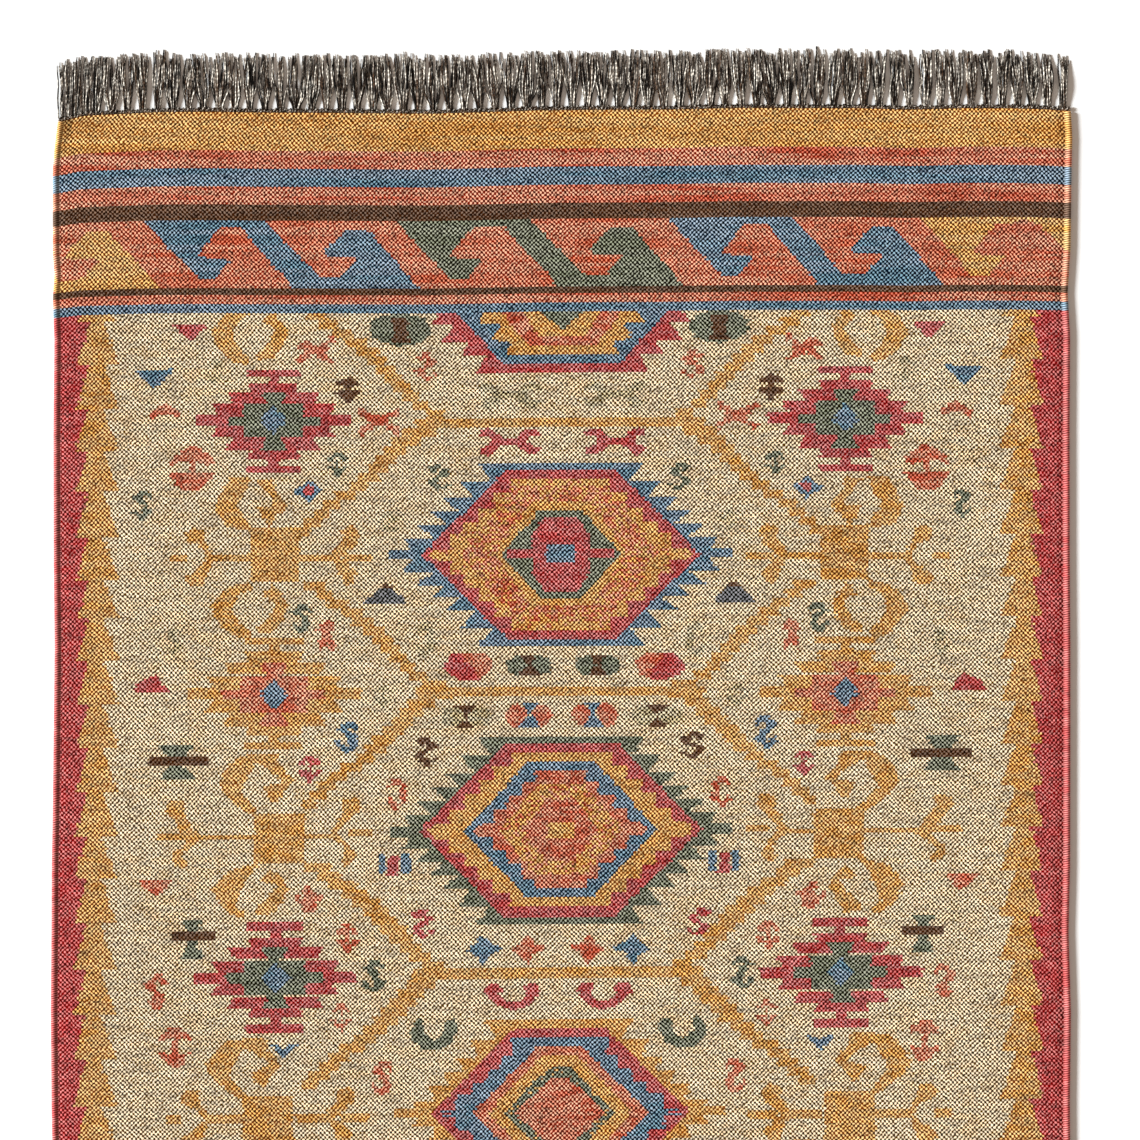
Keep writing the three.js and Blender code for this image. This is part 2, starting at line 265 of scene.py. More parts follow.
@dataclass
class Loom:
    """Weaves the pattern as one dye for each crossing of a warp and a weft.

    Attributes:
        plan: the cloth that is woven
        dyes: the chart, one row a weft and one column a warp
        x: the chart place of each warp
        y: the chart place of each weft
        bottom: the chart place of the near end
        streaks: a rank from 0 to 1 for each crossing, in short random streaks
    """

    plan: ClothPlan
    dyes: np.ndarray = field(init=False)
    x: np.ndarray = field(init=False)
    y: np.ndarray = field(init=False)
    bottom: float = field(init=False)
    streaks: np.ndarray = field(init=False)

    def __post_init__(self) -> None:
        """Sets up an all-cream cloth, the chart place of each crossing, and the streaks."""
        self.dyes = np.full((self.plan.wefts, self.plan.warps), Dye.CREAM, np.int64)
        warp_pitch = 2 * self.plan.half_width / CHART_UNIT / self.plan.warps
        weft_pitch = self.plan.length / CHART_UNIT / self.plan.wefts
        left = CHART_CENTRE_X - self.plan.half_width / CHART_UNIT
        self.x = left + (np.arange(self.plan.warps) + 0.5) * warp_pitch
        self.y = CHART_TOP_Y + (np.arange(self.plan.wefts) + 0.5) * weft_pitch
        self.bottom = CHART_TOP_Y + self.plan.length / CHART_UNIT
        rough = np.random.default_rng(STREAK_SEED).random(self.dyes.shape)
        soft = rough + STREAK_TAIL * np.roll(rough, 1, axis=1)
        self.streaks = soft.ravel().argsort().argsort().reshape(soft.shape) / soft.size

    def band(self, top: float, bottom: float, dye: Dye) -> None:
        """Weaves every crossing between two heights in one dye."""
        self.dyes[(self.y >= top) & (self.y < bottom)] = dye

    def shape(self, points: Points, dye: Dye, twin: bool = True,
              mirror: float = CHART_MIRROR_X, steps: int = 1, share: float = 1.0,
              shift: tuple[float, float] = (0.0, 0.0)) -> None:
        """Weaves a closed outline, and its twin on the other side of the middle.

        A crossing is inside where a ray from it crosses the outline an odd number of times.

        Args:
            points: the outline's corners, in chart units
            dye: what it is woven in
            twin: whether the other side has it too
            mirror: the line between the twins
            steps: how many wefts one stair of its slanting sides has
            share: how much of it takes the dye, in short random streaks
            shift: how far to the right and down the twin stands off its mirrored place
        """
        outline = np.asarray(points, float)
        self._fill(outline, dye, steps, share)
        if twin:
            moved = outline * (-1.0, 1.0) + (2.0 * mirror + shift[0], shift[1])
            self._fill(moved, dye, steps, share)

    def _fill(self, outline: np.ndarray, dye: Dye, steps: int, share: float) -> None:
        """Weaves the crossings inside an outline, by the count of crossed edges.

        Args:
            outline: its corners, one row each
            dye: what it is woven in
            steps: how many wefts one stair of its slanting sides has
            share: how much of it takes the dye, in short random streaks
        """
        stair = np.arange(self.plan.wefts) // steps * steps + steps // 2
        level = self.y[np.minimum(stair, self.plan.wefts - 1)]
        rows = np.flatnonzero((level > outline[:, 1].min()) & (level < outline[:, 1].max()))
        columns = np.flatnonzero((self.x > outline[:, 0].min()) & (self.x < outline[:, 0].max()))
        if rows.size == 0 or columns.size == 0:
            return
        y, x = level[rows][:, None], self.x[columns][None, :]
        inside = np.zeros((rows.size, columns.size), bool)
        for (x0, y0), (x1, y1) in zip(outline, np.roll(outline, -1, axis=0)):
            if y0 == y1:
                continue
            spans = (y > min(y0, y1)) & (y <= max(y0, y1))
            inside ^= spans & (x < x0 + (y - y0) * (x1 - x0) / (y1 - y0))
        patch = np.ix_(rows, columns)
        inside &= self.streaks[patch] < share
        self.dyes[patch] = np.where(inside, int(dye), self.dyes[patch])

    def stamp(self, rows: str, box: tuple[float, float, float, float], dye: Dye,
              shift: tuple[float, float]) -> None:
        """Weaves a small charted figure and its twin.

        Args:
            rows: the figure's rows, top first, parted by slashes, a # for each cell of it
            box: its left, right, top and bottom, in chart units
            dye: what it is woven in
            shift: how far to the right and down the twin stands off its mirrored place
        """
        lines = rows.split("/")
        left, right, top, bottom = box
        wide, high = (right - left) / len(lines[0]), (bottom - top) / len(lines)
        for row, line in enumerate(lines):
            for column, letter in enumerate(line):
                if letter == "#":
                    x, y = left + column * wide, top + row * high
                    self.shape(block(x, x + wide, y, y + high), dye, shift=shift)

    def fray(self, share: float) -> None:
        """Lets some crossings take a neighbour's dye, so that edges are uneven.

        Args:
            share: how many of them do, for the neighbour on each side
        """
        random = np.random.default_rng(FRAY_SEED)
        for step in (1, -1):
            swapped = random.random(self.dyes.shape) < share
            self.dyes = np.where(swapped, np.roll(self.dyes, step, axis=1), self.dyes)

    def packed(self) -> np.ndarray:
        """Packs the chart into one vector for each face of the cloth.

        A face's three wefts go to x, y and z, and along each weft the dye of warp n counts
        for CODE_BASE to the power n, so a whole number below 2 to the 24 holds six dyes.

        Returns:
            An array of faces down, faces across and three.
        """
        high, wide = self.plan.wefts_a_face, self.plan.warps_a_face
        spare = -self.plan.warps % wide
        chart = np.pad(self.dyes, ((0, 0), (0, spare)), mode="edge")
        blocks = chart.reshape(self.plan.wefts // high, high, -1, wide)
        value = (blocks * CODE_BASE ** np.arange(wide)).sum(axis=3)
        return value.transpose(0, 2, 1).astype(np.float64)


# Small figures of the field, charted.
FIGURES = {
    "ess": "..###./.#####/###..#/.###../..###./...##./#..###/##.###/.####./..##..",
    "two": "..###.../#####.../.##.###./....####/...###../.###..../###...../.###..##/"
           "..####../...##...",
    "three": "..###.../.#####../##...##./....##../....##../....###./##..###./###.##../"
             ".####.../..##....",
    "arch": "..###../.#####./##.#.##/...#.../...#.../##.#.##/.#####./..###../...#...",
    "tall_arch": "...####.../..#######./.#########/##..###..#/....##..../....##..../"
                 "....##..../##..##..##/.########./..#######./...#####../....###...",
    "thick_ess": "...##.../..#####./.###.###/###...##/####..../.###..../...##.../...####./"
                 "..#####./.######./..####../..###...",
    "creature": "..........##/..##.....###/.####...##.#/######.###../..########../"
                "..#######.../.####.####../###.....###./##........##",
    "cross": "##.........##./####.....####./.#####..#####./..########..../....######..../"
             "...########.../.####....####./###........###/.#..........#.",
    "double_roof": "...##.../..####../########/...##.../...##.../########/.######./..####../"
                   "...##...",
    "jug": "...##../..####./.#####./###.###/..###../..###../..###../.#####./.##.##./"
           ".#...#./.#...#.",
    "clump": "...##..../..####.../...####../#..######/########./.######../..#####../"
             "...####../...###...",
}

# Each one's chart, box (left, right, top, bottom) and dye.
FIELD_FIGURES = (
    ("ess", (133, 152, 490, 519), Dye.GREEN),
    ("ess", (165, 182, 628, 654), Dye.OLIVE),
    ("thick_ess", (148, 171, 969.5, 1004.5), Dye.CORAL),
    ("tall_arch", (161, 193, 1023.5, 1064.5), Dye.CORAL),
    ("creature", (297, 334, 335, 362), Dye.CORAL),
    ("double_roof", (335.5, 360, 374, 401.5), Dye.BROWN),
    ("cross", (358, 402, 407, 435), Dye.CORAL),
    ("arch", (328, 348, 452, 476), Dye.GREEN),
    ("two", (415, 438, 351, 380), Dye.CORAL),
    ("two", (428, 451, 463, 491), Dye.GREEN),
    ("two", (382, 400, 511, 532), Dye.OLIVE),
    ("arch", (374, 392, 684, 707), Dye.OLIVE),
    ("three", (414, 438, 622, 658), Dye.OLIVE),
    ("arch", (207, 222, 357, 384), Dye.OLIVE),
    ("ess", (291, 310, 603, 632), Dye.GREEN),
    ("jug", (315, 337, 619, 651), Dye.CORAL),
    ("two", (414, 440, 736, 765), Dye.BROWN),
    ("ess", (337, 359, 720, 752), Dye.BLUE),
    ("arch", (299, 321, 754, 781), Dye.CRIMSON),
    ("three", (388, 411, 778, 808), Dye.CORAL),
    ("clump", (297, 326, 884, 911), Dye.CORAL),
    ("arch", (338, 361, 922, 951), Dye.CORAL),
    ("two", (413, 437, 908, 938), Dye.CRIMSON),
    ("ess", (365, 386, 958, 990), Dye.GREEN),
    ("arch", (334, 353, 1001, 1029), Dye.CORAL),
    ("ess", (373, 394, 1060, 1093), Dye.CORAL),
)

# A figure with a forked head at each end, woven once in red and once faintly above it.
FORKS: Points = [
    (479.5, 434), (481, 430), (487, 427.5), (493, 430), (498, 435), (503, 438.5), (517, 438),
    (521, 434), (526, 430), (532, 428.5), (538, 430), (543, 434.5), (541, 437), (535, 436),
    (530, 437), (528, 441), (530, 445), (536, 447), (541, 447.5), (541, 450), (535, 455),
    (530, 455), (524, 451), (519, 446.5), (514, 444.5), (503, 444.5), (499, 448), (495, 453),
    (488, 455.5), (483, 453), (479.5, 448), (484, 447), (489, 444.5), (491, 441), (489, 437),
    (484, 437),
]

# The other small figures of the field's left half, as dyes and outlines, in weaving order.
FIELD_SHAPES: tuple[tuple[Dye, Points], ...] = (
    (Dye.CRIMSON, [(485, 990), (489, 983), (497, 981.5), (503, 985), (505, 990), (501, 992),
        (504, 997), (511, 1001), (520, 1001), (526, 996), (527, 991), (524, 987), (527, 982.5),
        (534, 981.5), (539, 984), (541.5, 990), (538, 996.5), (533, 1003), (525, 1007), (516, 1009),
        (504, 1007), (498, 1003), (492, 998), (487, 993)]),
    (Dye.GREEN, [(411, 1030), (416, 1021), (420, 1016), (426, 1018), (425, 1028), (429, 1035),
        (435, 1038), (441, 1036), (446, 1029), (445, 1022), (449, 1018), (456, 1017), (459, 1022),
        (459, 1030), (454, 1040), (447, 1046), (436, 1048), (424, 1047), (416, 1040)]),
    (Dye.BLUE, [(484.5, 933), (490, 939), (494, 944), (499, 944.5), (505, 947.5), (500, 951),
        (494, 951.5), (490, 957), (484, 963.5), (478, 957), (474, 952), (466.5, 950), (471, 945.5),
        (475, 944), (479, 939)]),
    (Dye.CORAL, [(528.5, 933), (534, 939), (538, 943), (543, 943.5), (547, 946), (543, 950),
        (538, 951.5), (535, 957), (530, 964.5), (523, 957), (519, 952), (514, 950), (514, 945.5),
        (520, 945), (524, 939)]),
    (Dye.BLUE, [(272.5, 1040), (278, 1040), (285, 1045), (292, 1041.5), (299, 1040), (297, 1045),
        (290, 1051), (285.5, 1056), (280, 1050), (274, 1044)]),
    (Dye.CRIMSON, [(171, 323), (205, 323), (204, 328), (199, 331), (194, 338), (190, 340), (186, 336),
        (180, 331), (176, 327)]),
    (Dye.BLUE, [(134, 368), (175, 367), (171, 372), (164, 378), (160, 384), (153, 386), (148, 381),
        (142, 374)]),
    (Dye.CORAL, [(149.5, 418), (151, 411), (158, 406), (166, 402.5), (175, 407), (181, 413),
        (180, 417), (172, 414), (164, 413), (156, 416), (152, 420)]),
    (Dye.CORAL, [(169, 462), (173, 457), (180, 451), (190, 446), (198, 446), (206, 451), (213, 457),
        (215, 461), (207, 465), (200, 463), (197, 461), (197, 473), (216, 473), (212, 478), (206, 484),
        (201, 490), (184, 491), (178, 486), (173, 479), (169, 473), (190, 473), (189, 461), (178, 462),
        (171, 466)]),
    (Dye.CRIMSON, [(134, 691), (139, 681), (150, 676), (156, 674), (161, 678), (164, 683),
        (171, 691)]),
    (Dye.GREEN, [(159, 743), (195, 743), (189, 750), (184, 757), (184, 763), (190, 770), (197, 778),
        (159, 778), (165, 770), (171, 763), (171, 757), (165, 751)]),
    (Dye.BROWN, block(148, 209, 754.5, 763)),
    (Dye.CORAL, [(139, 877), (174, 877), (170, 882), (165, 889), (158, 892), (151, 888), (144, 882)]),
    (Dye.GREEN, [(184, 917), (208, 917), (203, 923), (199, 931), (200, 942), (205, 948), (209, 956),
        (182, 956), (186, 949), (190, 942), (191, 931), (188, 924)]),
    (Dye.BROWN, block(175, 218, 929, 937.5)),
    (Dye.GREEN, [(369, 329), (373, 320), (380, 315), (392, 313), (410, 313), (422, 316), (429, 323),
        (430, 332), (424, 339), (414, 343), (400, 345), (386, 342), (375, 337)]),
    (Dye.BROWN, [(391, 317), (409, 316), (407, 324), (408, 334), (411, 341), (390, 341), (394, 333),
        (393, 324)]),
    (Dye.PLUM, [(363, 603), (368, 597), (374, 593), (378, 588), (381, 586), (390, 586), (395, 591),
        (401, 595), (406, 601), (407, 603)]),
    (Dye.BROWN, [(379, 587), (382, 583), (391, 583), (394, 587)]),
    (Dye.CORAL, [(442, 667), (445, 660), (450, 654), (470, 652), (484, 653), (491, 660), (491, 668),
        (486, 674), (476, 679), (458, 679), (448, 673)]),
    (Dye.CRIMSON, [(442, 667), (445, 660), (450, 654), (462, 653), (467, 662), (475, 669), (478, 679),
        (458, 679), (448, 673)]),
    (Dye.GREEN, [(506, 665), (509, 658), (516, 655), (540, 655), (548, 658), (552, 665), (547, 673),
        (540, 675.5), (516, 675.5), (509, 672)]),
    (Dye.BROWN, [(519, 654.5), (538, 654.5), (533, 660), (530, 665), (535, 670), (540, 675.5),
        (516, 675.5), (522, 670), (526, 665), (524, 660)]),
    (Dye.OLIVE, [(440, 715), (446, 706), (486, 706), (493, 715), (486, 726), (446, 726)]),
    (Dye.BROWN, [(453.5, 704.5), (479, 704.5), (473, 709), (468, 713), (467, 719), (471, 722),
        (476, 727.5), (454, 727.5), (461, 722), (465, 719), (464, 713), (459, 709)]),
    (Dye.CORAL, [(505, 715), (508, 707), (516, 703), (542, 703), (549, 707), (552, 714), (548, 723),
        (541, 727), (515, 727), (508, 723)]),
    (Dye.CREAM, [(517, 702), (543, 702), (530.5, 712.5), (542, 728), (516, 728), (528.5, 712.5)]),
    (Dye.BLUE, [(521.5, 702), (540, 702), (531, 711), (541, 727.5), (518, 727.5), (528, 715),
        (528, 711)]),
    (Dye.BLUE, block(379, 387, 852, 872.5)),
    (Dye.CRIMSON, [(388, 853), (401, 853), (399, 862), (401, 874), (388, 874), (390, 862)]),
    (Dye.BLUE, block(402, 411, 852, 872)),
    (Dye.BLUE, [(309.5, 479), (315, 484), (318, 487), (324, 488), (320, 493), (316, 495), (313, 500),
        (310, 504), (306, 499), (302, 496), (295, 495), (294, 490), (299, 487), (304, 484)]),
    (Dye.CRIMSON, [(303.5, 489), (309, 484), (316.5, 488), (313, 494), (306, 495)]),
)

# How far to the right and down some twins stand off their mirrored places, by the left and top
# of a charted figure, or by the first corner of an outline.
TWIN_SHIFTS = {
    (133, 490): (-14, 0), (165, 628): (-6, 0), (148, 969.5): (-15, -3), (161, 1023.5): (-17, 0),
    (358, 407): (-3, -4), (328, 452): (-5, 0), (315, 619): (-2, 0), (414, 736): (0, -5),
    (337, 720): (-5, -3), (299, 754): (-6, -3), (297, 884): (4, 0), (413, 908): (6, 0),
    (334, 1001): (-9, 0), (272.5, 1040): (-12, -3), (149.5, 418): (3, 0),
    (159, 743): (0, -6), (148, 754.5): (1, -4.5), (309.5, 479): (-3, -3),
    (303.5, 489): (-3, -3), (442, 667): (8, 0), (506, 665): (7, 0), (519, 654.5): (7, 0),
    (440, 715): (4, 0), (453.5, 704.5): (4, 0), (505, 715): (4, 0), (517, 702): (4, 0),
    (521.5, 702): (4, 0),
}

# The left and right edges of the lattice's slanting arms above and below a node.
UPPER_ARM = (
    ((300, -108), (318, -95), (342, -78), (364, -59), (377, -45), (395, -28), (410, -14),
     (428, -3)),
    ((318, -112), (331, -99), (352, -86), (364, -78), (378, -66), (389, -55), (397, -45),
     (405, -36), (414, -26), (423, -17), (437, -9), (450, -5.5)))
LOWER_ARM = (
    ((301, 117), (307, 104), (315, 97), (327, 86), (339, 76), (355, 66), (367, 55), (378, 44),
     (387, 34), (396, 24), (407, 13), (418, 2)),
    ((311, 117), (318, 110), (331, 99), (341, 88), (356, 79), (367, 72), (379, 62), (391, 53),
     (401, 43), (410, 33), (420, 25), (431, 15), (442, 7)))
# How far each node's arms stand off those edges: left and right above, left and right below.
ARM_SHIFTS = ((5, 5, -7, -8), (0, 0, 0, 0), (3, 9, 0, 3), (0, 0, 0, 0), (0, 0, 0, 0))

# Two scrolls' parts, from the centre: the block and four curled hooks, then the side hooks.
SCROLL = (
    block(-25, 24.5, -27.5, 27),
    ((-43, -78.5), (-49, -68.5), (-56, -57.5), (-59.5, -50.5), (-56, -38.5), (-47, -28.5),
     (-30, -25.5), (-23, -27.5), (-32, -41.5), (-38, -50.5), (-32, -57.5), (-27, -67.5),
     (-24, -77.5)),
    ((-19, -74.5), (-1.5, -77), (1, -63.5), (13.5, -50), (9, -42.5), (1, -39.5), (-5.5, -27),
     (-12.5, -38.5), (-17.5, -47.5), (-11, -48.5), (-3, -48.5), (-1.5, -55.5), (-11, -66.5)),
    ((-45, 30.5), (-56, 39.5), (-65, 52.5), (-58, 65.5), (-48.5, 75.5), (-40, 81.5),
     (-27, 83.5), (-24, 77.5), (-36, 67), (-42, 57.5), (-40.5, 48.5), (-35, 38.5),
     (-24, 33.5), (-24, 26)),
    ((-13, 41.5), (-3, 27), (7, 40.5), (13, 50.5), (9, 60.5), (7, 65.5), (-1.5, 76.5),
     (-17.5, 79), (-19, 72.5), (-8, 64.5), (-1.5, 54.5), (0, 48), (-7, 42.5)),
)
SCROLL_SIDES = (
    ((24, -1.5), (56, -1.5), (61, -9.5), (68, -16.5), (66, -24.5), (77, -30.5), (86, -20.5),
     (82, -11.5), (70, -2.5), (64, 3), (70, 4.5), (77, 12.5), (83, 18.5), (77, 28.5),
     (71, 30.5), (67, 25.5), (59, 5.5), (24, 5.5)),
    block(70, 99, -1.5, 6.5),
    ((-25, -1.5), (-61, -1.5), (-66, -8.5), (-70, -17.5), (-72, -26.5), (-83, -27.5),
     (-89, -21.5), (-88, -13.5), (-79, -11.5), (-71, -5.5), (-67, 2), (-72, 8.5),
     (-81, 15.5), (-89, 20.5), (-90, 25.5), (-83, 31.5), (-72, 30.5), (-69, 22.5),
     (-65, 13.5), (-61, 5.5), (-25, 5.5)),
    block(-105, -88, -1.5, 5.5),
)
WIDE_SCROLL = (
    block(-20, 30.7, -27.5, 21.5),
    ((-19, -86), (-34, -84), (-41, -79), (-51, -68), (-56, -56), (-47, -44), (-34, -33),
     (-19, -24), (-14, -28), (-24, -38), (-34, -51), (-27, -61), (-21, -73), (-17, -79)),
    ((-19, -86), (3, -86), (8, -73), (20, -59), (11, -51), (3, -38), (-4, -39), (-11, -53),
     (-2, -56), (8, -58), (4, -64), (-11, -74), (-21, -79)),
    ((-17, 22), (-31, 26), (-44, 29), (-54, 39), (-61, 49), (-54, 62), (-44, 74), (-31, 77),
     (-27, 74), (-37, 64), (-32, 49), (-27, 39), (-21, 31), (-14, 24)),
    ((-2, 29), (8, 36), (15, 49), (8, 62), (-1, 76), (-17, 74), (-17, 67), (-11, 62),
     (-2, 54), (3, 44), (-7, 42), (-15, 41), (-7, 34)),
)
WIDE_SIDES = (
    ((30, -7.4), (59, -7.4), (61, -17), (69, -28), (68, -37), (74, -42.5), (84, -42),
     (88.7, -33), (83, -27), (73, -18), (66, -10), (66, -5), (73, 2), (79, 10), (84, 17),
     (78, 23), (71, 27), (68, 20), (71, 10), (68, 3), (59, -1.4), (30, -1.4)),
    block(74, 98, -11, -4),
    ((-20, -8), (-74, -8), (-84, -19), (-91, -31), (-87, -39), (-94, -42), (-104, -40),
     (-109, -30), (-98, -18), (-89, -7), (-87, -1), (-92, 5), (-102, 11), (-101, 18),
     (-94, 26), (-87, 26), (-86, 21), (-92, 15), (-86, 8), (-77, 1), (-73, -1.5), (-20, -1.5)),
    block(-119, -84, -10, -2),
)

# Where each scroll's parts stand in the left half.
SCROLLS = (
    (275, 280, SCROLL + SCROLL_SIDES), (275, 554.5, SCROLL + SCROLL_SIDES),
    (275, 838, WIDE_SCROLL + WIDE_SIDES), (264, 1121.3, WIDE_SCROLL),
    (272, 1113.5, SCROLL_SIDES), (275, 1396, SCROLL + SCROLL_SIDES))

# Half a stepped star from the top down, each step's half width and height above the centre,
# first at its top and then at its bottom; its heart; and the diamond in its middle.
STAR_STEPS = ((27, 52, 27, 45), (5, 46, 5, 37), (27, 38.5, 23, 29.5), (47, 29.5, 40, 17.5),
              (62.5, 17, 55, 5), (78, 5, 78, -1))
STAR_HEART = ((14, 29.5, 7, 18), (30, 16.5, 30, -1), (46, 4.5, 46, -1), (7, 20, 7, 10))
STAR_EYE = ((-14, 0), (0, 14.5), (14, 0), (0, -1))

# The narrowest that half the flat top of a toothed outline can be.
LEAST_FLAT = 8.0


def around(quarter: Points) -> Points:
    """Turns an upper left quarter, as distances out and up, about both middle lines."""
    left = [(-a, -b) for a, b in quarter] + [(-a, b) for a, b in quarter[::-1]]
    return left + [(-a, b) for a, b in left[::-1]]


def hexagon(half_flat: float, half_width: float, top: float) -> Points:
    """A plain hexagon about the origin, flat at its top and bottom."""
    return around([(half_flat, top), (half_width, 0)])


def toothed(half_width: float, rise: float, top: float, out: float, teeth: Points) -> Points:
    """Builds the outline of one toothed hexagon about the origin.

    The sloping sides run from the point at half_width up to the flat top. Where a tooth
    starts, the line steps out flat from the slope to its tip, and slants back to the slope at
    the next one.

    Args:
        half_width: from the centre to the side points
        rise: how much the slope climbs for each unit inwards
        top: the height of the flat top above the centre
        out: how far the slope stands off, outwards where it is above 0
        teeth: the tips, as distances out and up
    Returns:
        The outline.
    """
    slope = []
    for tip_x, tip_y in teeth:
        pair = [(half_width - tip_y / rise + out, tip_y), (tip_x, tip_y)]
        slope += pair if out > 0 else pair[::-1]
    return around([(max(slope[0][0], LEAST_FLAT), top), *slope, (half_width + out, 0.0)])


# The blue, the green and the crimson medallion, each layer's dye, outline about the centre and
# share of the dye, outermost first. Each outline has a twin on the other side of the centre.
BLUE_BED = toothed(137, 0.955, 76, -5, ((50, 62), (66.5, 46.5), (82, 33), (97.5, 20), (111, 6)))
MEDALLIONS = (
    (
        (Dye.BLUE, toothed(141, 0.955, 91.5, 4, (
            (84, 91.5), (100.5, 73), (116, 56), (130.5, 42.5), (144.5, 30), (158, 17))), 1),
        (Dye.BLUE, block(-172, -130, -4.5, 5), 1),
        (Dye.CRIMSON, hexagon(54, 139, 84.7), 1),
        (Dye.MUSTARD, BLUE_BED, 1),
        (Dye.APRICOT, BLUE_BED, 0.1),
        (Dye.APRICOT, hexagon(44, 100, 68), 0.6),
        (Dye.MUSTARD, hexagon(30, 66, 52), 0.9),
        (Dye.GREEN, hexagon(21, 60, 44), 1),
        (Dye.CRIMSON, around([(15.7, 37.5), (28.6, 20)]), 1),
        (Dye.CRIMSON, block(-54, -28, -4.5, 4), 1),
        (Dye.BLUE, block(-13.5, 1, -9, 9), 1),
    ), (
        (Dye.GREEN, toothed(141, 1.014, 94.3, 4, (
            (84, 94.3), (100.7, 75.2), (117, 58.2), (129.5, 44.4), (144.5, 30.2),
            (157, 16.5))), 1),
        (Dye.GREEN, block(-171, -130, -4.5, 5), 1),
        (Dye.CRIMSON, hexagon(55.8, 141, 86.4), 1),
        (Dye.MUSTARD, toothed(137, 0.985, 77.2, -5, (
            (50.2, 63.4), (66.6, 49.3), (81, 35.9), (95.8, 21.4), (110.7, 7.6))), 1),
        (Dye.BLUE, hexagon(33.4, 97.2, 67.4), 1),
        (Dye.CORAL, toothed(91, 0.98, 58.8, -4, ((25, 49), (39, 34), (53.5, 20), (68, 6.5))), 1),
        (Dye.MUSTARD, hexagon(24, 62, 45), 1),
        (Dye.CORAL, hexagon(24, 62, 45), 0.3),
        (Dye.CORAL, hexagon(14, 38, 31), 1),
        (Dye.MUSTARD, block(-13, 1, -8, 8), 1),
    ), (
        (Dye.MUSTARD, toothed(133, 0.97, 93.5, 4, (
            (74.5, 93), (89, 73.4), (102.5, 54.5), (116, 41), (130.6, 27), (147.6, 12))), 1),
        (Dye.MUSTARD, block(-166, -128, -4.5, 4.5), 1),
        (Dye.CRIMSON, hexagon(46.5, 129, 83.7), 1),
        (Dye.BLUE, toothed(104, 0.96, 75.8, 3, (
            (49, 75.8), (55, 57.5), (69.7, 43.5), (86.7, 30.1), (102.5, 18),
            (120.8, 2.5))), 1),
        (Dye.CORAL, hexagon(21, 88, 67), 1),
        (Dye.APRICOT, hexagon(21, 88, 67), 0.5),
        (Dye.MUSTARD, hexagon(18, 72, 57.5), 1),
        (Dye.GREEN, hexagon(11, 56, 45), 1),
        (Dye.MUSTARD, hexagon(11, 56, 45), 0.15),
        (Dye.CORAL, hexagon(8, 45, 35.6), 1),
    ),
)

# The far border's stripes from the end inwards: where each one stops, and its dye.
STRIPES = ((150, Dye.MUSTARD), (168, Dye.CORAL), (184.5, Dye.BLUE), (204, Dye.CORAL),
           (219.5, Dye.BROWN), (287.2, Dye.APRICOT), (293.6, Dye.BROWN), (303, Dye.CORAL),
           (FIELD_TOP_Y, Dye.BLUE))

# The running wave's band, and its hooks: where each starts, how far to the right its standing
# part is moved, and its dye.
WAVE_TOP_Y, WAVE_FOOT_Y = 219.5, 287.4
HOOKS = ((-114, 0, Dye.HONEY), (144.5, 0, Dye.BLUE), (396, 14, Dye.GREEN), (667.5, 2, Dye.BLUE),
         (918.5, 2, Dye.HONEY))
# A hook's outline from its start and the band's top, with the share of the move that each part
# takes: the part that hangs, the bridge, and the part that stands.
HOOK_PARTS = (
    (0.0, ((0, 0), (54, 58), (71, 58), (87, 37.5), (56, 37), (54, 34.5), (75.5, 8))),
    (0.7, ((77, 6.5), (97, 6.5))),
    (1.0, ((149.7, 67.9), (276, 67.8), (222, 8), (202, 8), (180.5, 31), (183, 35),
           (213, 35.5), (212, 38.5), (195, 57), (175, 57), (121, 0))),
)
# The top of the wave's last hook, which the right-hand edge cuts.
LAST_CREST = ((1022, 221), (1039, 227), (1053, 240), (1064, 250), (1090, 268))

# Where each saw tooth of the side zigzags starts, as far down as the picture shows.
ZIGZAG_STEPS = (318.5, 362, 405.8, 448.5, 490, 534.5, 577.5, 617.5, 658.5, 702.5, 746, 787.5,
                830.5, 875, 919.5, 964.5, 1009, 1055, 1101)

# The medallion that the border cuts, left half: the outlines of its rings, outermost first.
CUT_RINGS: tuple[tuple[Dye, Points], ...] = (
    (Dye.CRIMSON, [(562, 373.4), (476, 373.4), (485, 354.3), (461, 354.3), (469, 340.5),
        (441, 340.5), (456, 323.2), (431.7, 323.2), (446, 306), (562, 306)]),
    (Dye.BLUE, [(562, 363.8), (503.5, 363.8), (452.5, 306.7), (562, 306)]),
    (Dye.MUSTARD, [(562, 354.3), (506, 354.3), (511, 341), (490.6, 339.6), (501, 324), (479.3, 323.2),
        (487, 306), (562, 306)]),
    (Dye.CORAL, [(562, 345.7), (529, 345.7), (515, 330), (504, 314), (500, 306), (562, 306)]),
    (Dye.MUSTARD, [(562, 337), (539, 337), (527, 318), (522, 306), (562, 306)]),
    (Dye.GREEN, [(564, 331), (553, 323), (545, 317), (540, 312), (538, 306), (564, 306)]),
)


